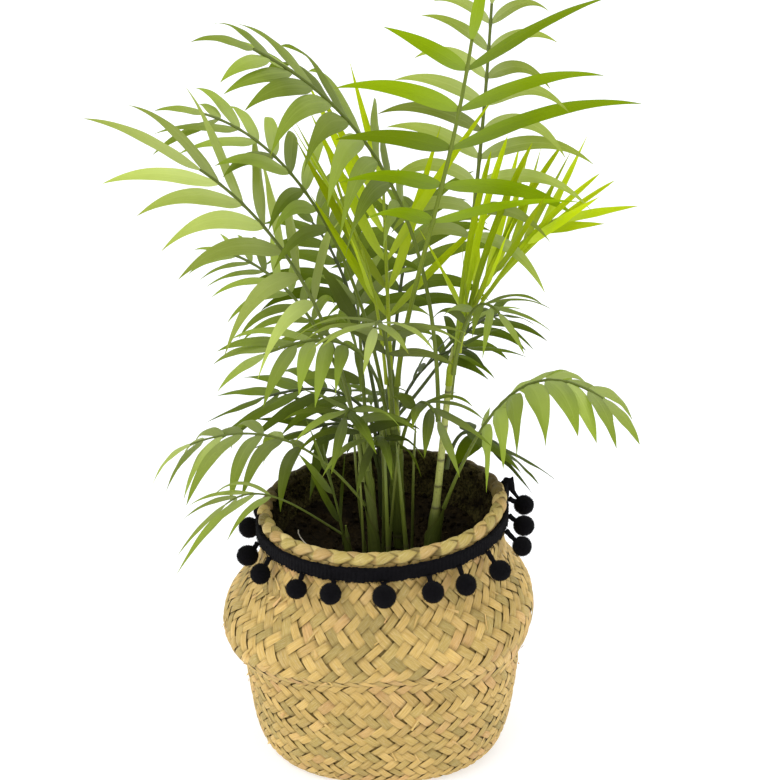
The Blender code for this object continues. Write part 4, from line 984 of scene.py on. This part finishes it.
def soil_height(x, y):
    """The soil's surface, as in the CAD source."""
    radius = np.hypot(x, y)
    dish = SOIL_MIDDLE + (SOIL_EDGE - SOIL_MIDDLE) * smooth_step(radius, SOIL_RISE_FROM, SOIL_RISE_TO)
    lumps = np.sin(190 * x + 1.0) * np.sin(170 * y + 0.4) + 0.6 * np.sin(310 * x - 260 * y)
    return dish + SOIL_LUMP * lumps * (1 - smooth_step(radius, 0.066, 0.078))


def make_soil(peat):
    """Rough peat with loose crumbs."""
    cloth = Cloth()
    rng = np.random.default_rng(3)
    turn = circle(180)
    radius = np.concatenate([[0.0005], np.linspace(0.0015, SOIL_RADIUS, 60)])[:, None]
    x, y = radius * np.cos(turn), radius * np.sin(turn)
    flat = zip(x.ravel(), y.ravel())
    rough = [noise.fractal(Vector((a * 130, b * 130, 0.3)), 0.9, 2.1, 5) for a, b in flat]
    z = soil_height(x, y) + 0.0011 * np.array(rough).reshape(x.shape) - 0.0004
    rows = np.stack([x, y, z], axis=-1)
    under = rows[-1:] * np.array([1, 1, 0]) + np.array([0, 0, SOIL_UNDER])
    cloth.grid(np.concatenate([rows, under]), tint=(0.3, 0.0, 0.0), around=True)
    points, faces = ball(2)
    for _ in range(SOIL_CRUMBS):
        away, bearing = CRUMB_REACH * math.sqrt(rng.uniform(0.0, 1.0)), rng.uniform(0, TAU)
        x, y = away * math.cos(bearing), away * math.sin(bearing)
        size = 0.0007 + 0.0016 * rng.uniform() ** 3
        centre = np.array([x, y, float(soil_height(x, y)) + 0.3 * size])
        shape = crumb(points, size, rng, 0.6, 1.2)
        cloth.triangles(centre + shape, faces, tint=(rng.uniform() ** 2, 0.0, 0.0))
    place_piece(cloth.build("peat", peat), "soil", "soil")


def peat_edge_points(row, angle):
    """Points of the peat over the pot's lip. row runs from the soil to its top, higher at the back."""
    rows = np.arange(len(PEAT_FRONT))
    back = smooth_step(np.sin(angle), -0.25, 0.45)
    front, behind = np.array(PEAT_FRONT), np.array(PEAT_BACK)
    radius, height = (
        (1 - back) * np.interp(row, rows, front[:, k]) + back * np.interp(row, rows, behind[:, k])
        for k in (0, 1))
    lean = np.interp(row, rows, PEAT_LEAN)[..., None]
    straight = np.stack(np.broadcast_arrays(radius * np.cos(angle), radius * np.sin(angle), height), axis=-1)
    return (1 - lean) * straight + lean * basket_points(radius, height, angle)


def make_peat_edge(peat):
    """Peat over the pot's lip and up against the basket's inside, with loose crumbs and fibres on it."""
    cloth = Cloth()
    rng = np.random.default_rng(4)
    top = len(PEAT_FRONT) - 1
    row = np.linspace(0, top, 4 * top + 1)[:, None]
    angle = circle(420)[None, :]
    flat = peat_edge_points(row, angle)
    rough = np.array([noise.fractal(Vector(p * 190), 0.8, 2.1, 6) for p in flat.reshape(-1, 3)])
    rough = np.clip(rough.reshape(flat.shape[:2]), -1.0, 1.8)
    lumps = 0.0011 * rough * smooth_step(row, 0, 1.5) * smooth_step(top - row, 0.0, 1.5)
    inward = units(flat * np.array([-1.0, -1.0, 0.0])) + np.array([0.0, 0.0, 1.0])
    moss = 0.25 + 0.75 * smooth_step(np.sin(angle), -0.3, 0.6)
    cloth.grid(flat + inward * lumps[..., None], tint=(0.45, moss, 0.0), around=True)
    points, faces = ball(2)
    for _ in range(PEAT_CRUMBS):
        centre = peat_edge_points(rng.uniform(0, top - 1), rng.uniform(0, TAU))
        size = 0.0005 + 0.0012 * rng.uniform() ** 2
        shape = crumb(points, size, rng, 0.5, 1.3)
        moss = 0.9 * (rng.uniform() < 0.4)
        cloth.triangles(centre + shape, faces, tint=(rng.uniform() ** 1.5, moss, 0.0))
    base = peat_edge_points(rng.uniform(-1.5, top - 0.6, PEAT_FIBRES), rng.uniform(0, TAU, PEAT_FIBRES))
    lean = units(rng.normal(0, 1, (PEAT_FIBRES, 3)) + np.array([0, 0, 0.25]))
    lean[:, 2] = np.abs(lean[:, 2]) * 0.6
    length = 0.002 + 0.006 * rng.uniform(size=(PEAT_FIBRES, 1)) ** 2
    add_spikes(cloth, base, lean * length, PEAT_FIBRE_THICK, rng, (1.0, 0.4, 0.0))
    place_piece(cloth.build("peat_edge", peat), "soil")


def make_root():
    """The pale dead root that lies over the peat at the front left."""
    cloth = Cloth()
    t = np.linspace(0, 4, 33)
    line = np.column_stack([np.interp(t, np.arange(5), np.array(ROOT)[:, k]) for k in range(3)])
    line[1:-1] = (line[:-2] + line[1:-1] + line[2:]) / 3
    cloth.grid(tube_rings(line, ROOT_RADIUS * (1 - 0.12 * t / 4), 6), around=True)
    place_piece(cloth.build("dead_root", root_look()), "soil")


def stem_share(stem, height):
    return (height - STEM_FOOT) / (stem.height - STEM_FOOT)


def stem_axis(stem, height):
    share = stem_share(stem, height)
    return np.array([stem.foot[0] + (stem.top[0] - stem.foot[0]) * share,
                     stem.foot[1] + (stem.top[1] - stem.foot[1]) * share, height])


def stem_radius(stem, height):
    share = min(max(stem_share(stem, height), 0.0), 1.0)
    return stem.foot_radius + (stem.top_radius - stem.foot_radius) * share


def slim_radius(name, height):
    """A stem's radius as seen: slim above its lowest sheaths."""
    share, low, high = SLIMNESS.get(name, (0.0, 0.0, 1.0))
    return stem_radius(STEMS[name], height) * (1 - share * smooth_step(height, low, high))


def deep_shade(height):
    """How much painted shade darkens stems and sheaths, down in the basket's mouth."""
    return 1 - smooth_step(height, SHADE_LOW, SHADE_HIGH)


def make_stems():
    """Stems with leaf scars. The cane is bare and pale above its lowest sheath."""
    cane = cane_look()
    for name, stem in STEMS.items():
        cloth = Cloth()
        heights = np.linspace(STEM_FOOT, stem.height, int((stem.height - STEM_FOOT) / 0.0008))
        centres = np.array([stem_axis(stem, height) for height in heights])
        radii = np.array([slim_radius(name, height) for height in heights])
        scar = np.zeros(len(heights))
        for place in STEM_SCARS.get(name, OTHER_SCARS):
            near = np.exp(-(((heights - place) / SCAR_HALF) ** 2))
            radii = radii * (1 + SCAR_SWELL * near)
            scar = np.maximum(scar, 0.85 * near)
        radii = radii * (1 - 0.70 * smooth_step(heights, stem.height - STEM_POINT, stem.height))
        turn = circle(STEM_SIDES)
        offsets = np.stack([np.cos(turn), np.sin(turn), 0 * turn], axis=-1)
        points = centres[:, None, :] + radii[:, None, None] * offsets[None, :, :]
        paler = smooth_step(heights, *PALE_FROM) * (1 - 0.4 * smooth_step(heights, *PALE_FADES))
        paler = paler if name == "stem_cane" else 0.0
        cloth.grid(points, (turn[None, :], heights), (paler, scar, deep_shade(heights)), around=True)
        top = np.concatenate([points[-1], centres[-1:] + np.array([[0, 0, 0.4 * radii[-1]]])])
        fan = np.array([(k, (k + 1) % STEM_SIDES, STEM_SIDES) for k in range(STEM_SIDES)])
        cloth.triangles(top, fan, (0.0, heights[-1]))
        if name == "stem_middle":
            add_side_shoots(cloth)
        place_piece(cloth.build(f"ringed_{name}", cane), "stem", name)


def add_side_shoots(cloth):
    """Thin closed shoots that stand between the stems and end among the leaves."""
    t = np.linspace(0, 1, 40)
    for number, (foot, top, height, radius) in enumerate(SIDE_SHOOTS):
        heights = SHOOT_FOOT + (height - SHOOT_FOOT) * t
        bow = 0.0015 * np.sin(math.pi * t + number)
        x, y = (foot[k] + (top[k] - foot[k]) * t for k in (0, 1))
        radii = radius * (1.15 - 0.35 * t) * (1 - 0.9 * smooth_step(t, 0.85, 1.0))
        rings = tube_rings(np.stack([x + bow, y, heights], axis=-1), radii, 8, up=(0.0, 1.0, 0.0))
        place = (np.linspace(0, TAU, 8)[None, :], heights)
        cloth.grid(rings, place, (0.25 * t, 0.0, deep_shade(heights)), around=True)


class Stalk:
    """The centre line of a frond's leaf stalk, as in the CAD source."""

    def __init__(self, frond):
        self.frond = frond
        stem = STEMS[frond.stem]
        heading = math.radians(frond.heading)
        out = np.array([math.cos(heading), math.sin(heading), 0.0])
        self.side = np.array([-math.sin(heading), math.cos(heading), 0.0])
        surface = stem_radius(stem, frond.foot) + GAP
        first_reach, first_height = frond.points[0]
        slope = math.atan2(first_height - frond.foot, first_reach - surface)
        start = surface + STALK_THICKNESS / 2 * math.sin(slope)
        first, second, third, last = (
            stem_axis(stem, height) + reach * out for reach, height in ((start, frond.foot), *frond.points))
        t = np.linspace(0, 1, 201)[:, None]
        self.line = (1 - t) ** 3 * first + 3 * (1 - t) ** 2 * t * second
        self.line = self.line + 3 * (1 - t) * t ** 2 * third + t ** 3 * last
        lengths = lengths_along(self.line)
        self.length = lengths[-1]
        self.shares = lengths / self.length

    def at(self, share):
        return np.stack([np.interp(share, self.shares, self.line[:, axis]) for axis in range(3)], axis=-1)

    def frame(self, share):
        along = unit(self.at(min(share + 0.01, 1.0)) - self.at(max(share - 0.01, 0.0)))
        up = unit(np.cross(along, self.side))
        roll = math.radians(self.frond.roll) * min(share / self.frond.bare, 1.0)
        across = math.cos(roll) * self.side + math.sin(roll) * up
        return along, across, np.cross(along, across)


class Leaflet:
    """One leaflet in one attitude, as in the CAD source."""

    def __init__(self, stalk, share, side, chance, attitude, stations=STATIONS):
        self.share, self.side, self.chance, self.attitude = share, side, chance, attitude
        swing, lift, sag, scale = attitude
        frond = stalk.frond
        along, across, normal = stalk.frame(share)
        place = (share - frond.bare) / (1 - frond.bare)
        low, high = frond.angles
        angle = (low + (high - low) * place) * (1 + 0.11 * chance[0]) if side else 0.0
        rise = frond.rise + 0.18 * angle * chance[1] if side else 0.0
        angle, rise = math.radians(angle + swing), math.radians(rise + lift)
        outward = (side or 1) * math.cos(rise) * across + math.sin(rise) * normal
        swell = math.sin(math.pi * min(place, 1.0))
        length = frond.length * (1 + frond.uneven * side) * (0.8 + 0.2 * swell)
        self.length = length * (1 - frond.taper * place ** 2) * (1 + 0.12 * chance[2]) * scale
        self.u = u = (np.arange(stations) / (stations - 1)) ** 1.2
        flare = max(0.0, FLARE_ANGLE - abs(angle)) if side else 0.0
        droop = frond.droop * (DROOP_LOW + (DROOP_HIGH - DROOP_LOW) * place) * (1 + 0.4 * chance[3])
        points = [stalk.at(share) + side * across * 0.001]
        directions = []
        for i, middle in enumerate([0.0, *(u[1:] + u[:-1]) / 2]):
            bent = angle + flare * math.exp(-middle * self.length / FLARE_REACH)
            toward = math.cos(bent) * along + math.sin(bent) * outward
            toward = unit(toward + (droop + sag) * middle ** DROOP_POWER * np.array([0.0, 0.0, -1.0]))
            directions.append(toward)
            if i:
                points.append(points[-1] + toward * self.length * (u[i] - u[i - 1]))
        self.points, directions = np.array(points), np.array(directions)
        self.normals = units(normal - (directions @ normal)[:, None] * directions)
        self.across = np.cross(directions, self.normals)
        width = frond.width * (0.8 + 0.2 * swell) * (1 - 0.7 * frond.taper * place ** 2)
        self.half = 0.5 * width * np.sin(np.pi * (0.04 + 0.96 * u) ** 0.62).clip(0) ** 0.9

    def samples(self, first=0):
        points, edges = self.points[first:], (self.across * self.half[:, None])[first:]
        points, edges = (np.concatenate([line, (line[1:] + line[:-1]) / 2]) for line in (points, edges))
        return np.concatenate([points + share * edges for share in (-1, -0.33, 0.33, 1)])


def attitudes():
    yield 0.0, 0.0, 0.0, 1.0
    for scale in ATTITUDE_SCALES:
        for size in ATTITUDE_SIZES:
            for swing, lift, sag in ATTITUDE_MOVES:
                yield 7.0 * swing * size, 9.0 * lift * size, 0.16 * sag * size, scale


def is_clear(points, others, distance):
    low, high = points.min(axis=0) - distance, points.max(axis=0) + distance
    near = others[((others >= low) & (others <= high)).all(axis=1)]
    if not len(near):
        return True
    gaps = ((points[:, None, :] - near[None, :, :]) ** 2).sum(axis=2)
    return gaps.min() >= distance ** 2


def fixed_points():
    """Points on the stems and the rim, which leaflets stay clear of."""
    found = []
    for stem in STEMS.values():
        for height in np.arange(STEM_FOOT, stem.height, 0.004):
            for angle in circle(6):
                around = np.array([math.cos(angle), math.sin(angle), 0.0])
                found.append(stem_axis(stem, height) + stem_radius(stem, height) * around)
    angle, turn = circle(160)[:, None], circle(6)[None, :]
    return np.concatenate([found, rim_tube(RIM_TUBE, turn, angle).reshape(-1, 3)])


def first_clear(stalk, share, side, chance, others, own, own_clear):
    """The leaflet in the first attitude that is clear of everything, or None."""
    for attitude in attitudes():
        leaflet = Leaflet(stalk, share, side, chance, attitude)
        if is_clear(leaflet.samples(2), others, STEM_CLEAR):
            if is_clear(leaflet.samples(3 if side else 4), own, own_clear):
                return leaflet
    return None


def grow_fronds():
    """Every frond's stalk with its leaflets, placed by the same rule as in the CAD source."""
    stalks = {name: Stalk(frond) for name, frond in FRONDS.items()}
    lines = {
        name: stalk.at(np.linspace(0, 1, max(int(stalk.length / 0.004), 8))) for name, stalk in stalks.items()}
    taken = [fixed_points()]
    grown = {}
    for index, (name, stalk) in enumerate(stalks.items()):
        frond = stalk.frond
        others = np.concatenate(taken + [line for other, line in lines.items() if other != name])
        chance = np.random.default_rng(100 + index).uniform(-1, 1, (frond.pairs, 2, 4))
        leaflets = []
        own = [lines[name][len(lines[name]) // 4:]]
        for pair in range(frond.pairs):
            share = frond.bare + (1 - frond.bare) / frond.pairs * (pair + 0.3)
            for column, side in enumerate((1, -1)):
                near = np.concatenate(own)
                made = first_clear(stalk, share, side, chance[pair, column], others, near, OWN_CLEAR)
                if made:
                    leaflets.append(made)
                    own.append(made.samples(3))
        tip = first_clear(stalk, 1.0, 0, (0, 0, 0, 0), others, np.concatenate(own[1:]), 0.8 * OWN_CLEAR)
        if tip:
            leaflets.append(tip)
        taken.append(np.concatenate([leaflet.samples() for leaflet in leaflets]))
        grown[name] = (stalk, leaflets)
    return grown


def add_leaflet(cloth, stalk, coarse, draw, widen):
    """A fine blade on the coarse leaflet's line: folded along its midrib, a little twisted and waved."""
    leaflet = Leaflet(stalk, coarse.share, coarse.side, coarse.chance, coarse.attitude, FINE_STATIONS)
    u = leaflet.u
    twist = (LEAF_TWIST * draw[0] * u ** 1.3)[:, None]
    across = leaflet.across * np.cos(twist) + leaflet.normals * np.sin(twist)
    over = leaflet.normals * np.cos(twist) - leaflet.across * np.sin(twist)
    half = leaflet.half * (1 - 0.45 * np.exp(-u / 0.05)) * widen
    half[-1] = LEAF_POINT
    column = np.linspace(-1, 1, LEAF_COLUMNS)[None, :]
    fold = (LEAF_FOLD + 0.12 * draw[1]) * (1 - 0.6 * u) * np.minimum(1.0, 8 * u + 0.3)
    wave = LEAF_WAVE * np.sin(u * 17 + 3 * draw[2])[:, None] * column ** 3
    rise = half[:, None] * (-fold[:, None] * np.abs(column) ** 1.2 + wave)
    middle = leaflet.points + leaflet.across * (LEAF_SWING * draw[6] * leaflet.length * u ** 2)[:, None]
    points = (middle[:, None, :] + across[:, None, :] * (half[:, None] * column)[:, :, None]
              + over[:, None, :] * rise[:, :, None])
    hue = np.clip(0.5 + 0.26 * draw[3] + 0.22 * u - 0.10, 0, 1)
    # painted shade on leaves inside the plant
    inner = 1 - smooth_step(np.hypot(middle[:, 0], middle[:, 1]), *INNER_REACH)
    inner = inner * (1 - smooth_step(middle[:, 2], *INNER_TOP))
    inner = inner * (YOUNG_INNER if stalk.frond.tone == "young" else 1)
    value = np.clip(0.52 + 0.24 * draw[4] + 0.08 * np.cos(u * 2.5) - INNER_SHADE * inner, 0, 1)
    dry = np.clip((u - 0.93) / 0.07, 0, 1) * (0.75 if draw[5] > 0.2 else 0.15)
    cloth.grid(points, (column, u * leaflet.length + draw[2]), (hue, value, u + dry))


def add_spears(cloth, rng):
    """Blades of the youngest frond that are still closed, in a bundle at the cane's top."""
    u = np.linspace(0, 1, 22)
    column = np.linspace(-1, 1, 5)[None, :]
    for foot, tip, width in SPEARS:
        foot, tip = np.array(foot), np.array(tip)
        along, length = unit(tip - foot), np.linalg.norm(tip - foot)
        across = unit(np.cross(along, np.array([0.25, 1.0, 0.0])))
        over = np.cross(along, across)
        bow = SPEAR_BEND * length * np.sin(math.pi * u)
        middle = foot + (tip - foot) * u[:, None] + np.array([-0.3, 0.0, 1.0]) * bow[:, None]
        half = 0.5 * width * (0.50 + 0.50 * smooth_step(u, 0.0, 0.40)) * (1 - u ** 10) ** 0.8
        half[-1] = 0.0001
        side = (half[:, None] * column)[:, :, None]
        draw = rng.uniform(-1, 1, 3)
        hue = np.clip(0.5 + 0.3 * draw[0] + 0.2 * u, 0, 1)
        value = 0.52 + 0.16 * draw[1] + 0.14 * u
        points = middle[:, None, :] + across * side - over * 0.9 * np.abs(side)
        cloth.grid(points, (column, u * length), (hue, value, u))


def add_stalk(cloth, stalk, leaflets, widen):
    """The leaf stalk as a slim tube with a swelling at each leaflet."""
    shares = np.linspace(0, 1, max(int(stalk.length / STALK_STEP), 12))
    centres = stalk.at(shares)
    width = widen * (STALK_WIDTH_FOOT + (STALK_WIDTH_TIP - STALK_WIDTH_FOOT) * shares) / 2
    for leaflet in leaflets:
        if leaflet.side:
            away = (shares - leaflet.share) * stalk.length / JOINT_HALF
            width = width * (1 + JOINT_SWELL * np.exp(-(away ** 2)))
    width = width * (1 + FOOT_SWELL * np.exp(-shares * stalk.length / FOOT_REACH))
    rings = tube_rings(centres, width, 8, flat=STALK_FLAT, up=stalk.frame(0.5)[2])
    tint = (0.6 * np.clip(1 - shares * 1.4, 0, 1), deep_shade(centres[:, 2]), 0.0)
    cloth.grid(rings, (circle(8)[None, :], shares * stalk.length), tint, around=True, slot=1)


def add_sheath(cloth, frond, length, rank):
    """The sheath by which the stalk clasps its stem: a tube low down that narrows to the stalk at the top."""
    stem = STEMS[frond.stem]
    length = min(length, frond.foot - SHEATH_LOWEST)
    if length < SHEATH_SHORTEST:
        return
    t = np.linspace(0, 1, SHEATH_ROWS)
    heights = frond.foot - length * (1 - t) + 0.004 * t
    opened = smooth_step(t, 0.25, 1.0)
    opening = math.pi * (1 - opened) + SHEATH_OPEN * opened
    column = np.linspace(-1, 1, SHEATH_COLUMNS)
    out = SHEATH_OUT + SHEATH_LAYER * rank + SHEATH_MOUTH * t ** 3
    rows = []
    for i, height in enumerate(heights):
        angle = math.radians(frond.heading) + opening[i] * column
        slim = slim_radius(frond.stem, height) * (1 - t[i] ** 2)
        reach = slim + stem_radius(stem, height) * t[i] ** 2 + out[i]
        around = np.column_stack([np.cos(angle), np.sin(angle), 0 * angle])
        rows.append(stem_axis(stem, height) + reach * around)
    column = column[None, :]
    dry = 0.25 * np.clip(np.abs(column) - 0.82, 0, 1) / 0.18 * smooth_step(t, 0.2, 0.6)[:, None]
    cloth.grid(np.array(rows), (2 * column, heights), (0.4 - 0.3 * t, deep_shade(heights), dry), slot=1)


def make_fronds():
    leaves = {tone: leaf_look(tone) for tone in LEAF_TONES}
    stalks = {tone: stalk_look(tone) for tone in STALK_TONES}
    rank = {}
    for name, frond in sorted(FRONDS.items(), key=lambda pair: -pair[1].foot):
        rank[name] = sum(1 for other in rank if FRONDS[other].stem == frond.stem)
    for index, (name, (stalk, leaflets)) in enumerate(grow_fronds().items()):
        rng = np.random.default_rng(500 + index)
        seen = SEEN.get(name, Seen())
        drawn = rng.uniform(-TINT_DRAW, TINT_DRAW)
        cloth = Cloth()
        for leaflet in leaflets:
            draw = rng.uniform(-1, 1, 7)
            draw[3] = draw[3] + TINT_WEIGHT * (drawn if seen.tint is None else seen.tint)
            add_leaflet(cloth, stalk, leaflet, draw, seen.leaf)
        if name == "young_right":
            add_spears(cloth, rng)
        add_stalk(cloth, stalk, leaflets, seen.stalk)
        add_sheath(cloth, stalk.frond, seen.sheath, rank[name])
        tone = stalk.frond.tone
        look = "vivid" if name in VIVID_FRONDS else tone
        place_piece(cloth.build(f"leaf_{name}", leaves[look], stalks[look]), f"leaf_{tone}", f"frond_{name}")


def make_stage():
    """The floor, wide soft lights from far away that light it evenly, and the camera at the photo's angle."""
    scene = bpy.context.scene
    bm = bmesh.new()
    bmesh.ops.create_grid(bm, x_segments=1, y_segments=1, size=FLOOR_HALF)
    mesh = bpy.data.meshes.new("floor")
    bm.to_mesh(mesh)
    bm.free()
    mesh.materials.append(floor_look())
    floor = add_object("floor", mesh)
    floor.location.z = -FLOOR_DROP
    scene.world = bpy.data.worlds.new("studio")
    scene.world.use_nodes = True
    background = scene.world.node_tree.nodes["Background"]
    background.inputs["Color"].default_value = (1.0, 1.0, 1.0, 1.0)
    background.inputs["Strength"].default_value = WORLD_STRENGTH
    for name, place, spread, strength in LIGHTS:
        data = bpy.data.lights.new(name, "SUN")
        data.angle = math.radians(spread)
        data.energy = strength
        light = add_object(name, data)
        light.location = place
        light.rotation_mode = "QUATERNION"
        light.rotation_quaternion = (-Vector(place)).to_track_quat("-Z", "Y")
    scene.view_settings.view_transform = "Standard"
    data = bpy.data.cameras.new("camera")
    data.lens, data.sensor_width, data.clip_end = CAMERA_LENS, CAMERA_SENSOR, CAMERA_FAR
    camera = add_object("camera", data)
    x, z = CAMERA_AIM
    away, rise = CAMERA_DISTANCE * math.cos(CAMERA_PITCH), CAMERA_DISTANCE * math.sin(CAMERA_PITCH)
    camera.location = (x, -away, z + rise)
    camera.rotation_euler = (math.pi / 2 - CAMERA_PITCH, 0.0, 0.0)
    scene.camera = camera


def main():
    straw = straw_look("seagrass", WALL_TONES, 0.75)
    for make in (make_wall, make_lining, make_slivers, make_base):
        make(straw)
    make_rim(straw_look("rim_straw", RIM_TONES, 0.7))
    yarn = yarn_look()
    make_band(yarn)
    make_pompoms(yarn)
    peat = soil_look()
    make_soil(peat)
    make_peat_edge(peat)
    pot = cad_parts["nursery_pot"].data.materials
    pot.clear()
    pot.append(pot_look())
    make_root()
    make_stems()
    make_fronds()
    make_stage()


main()
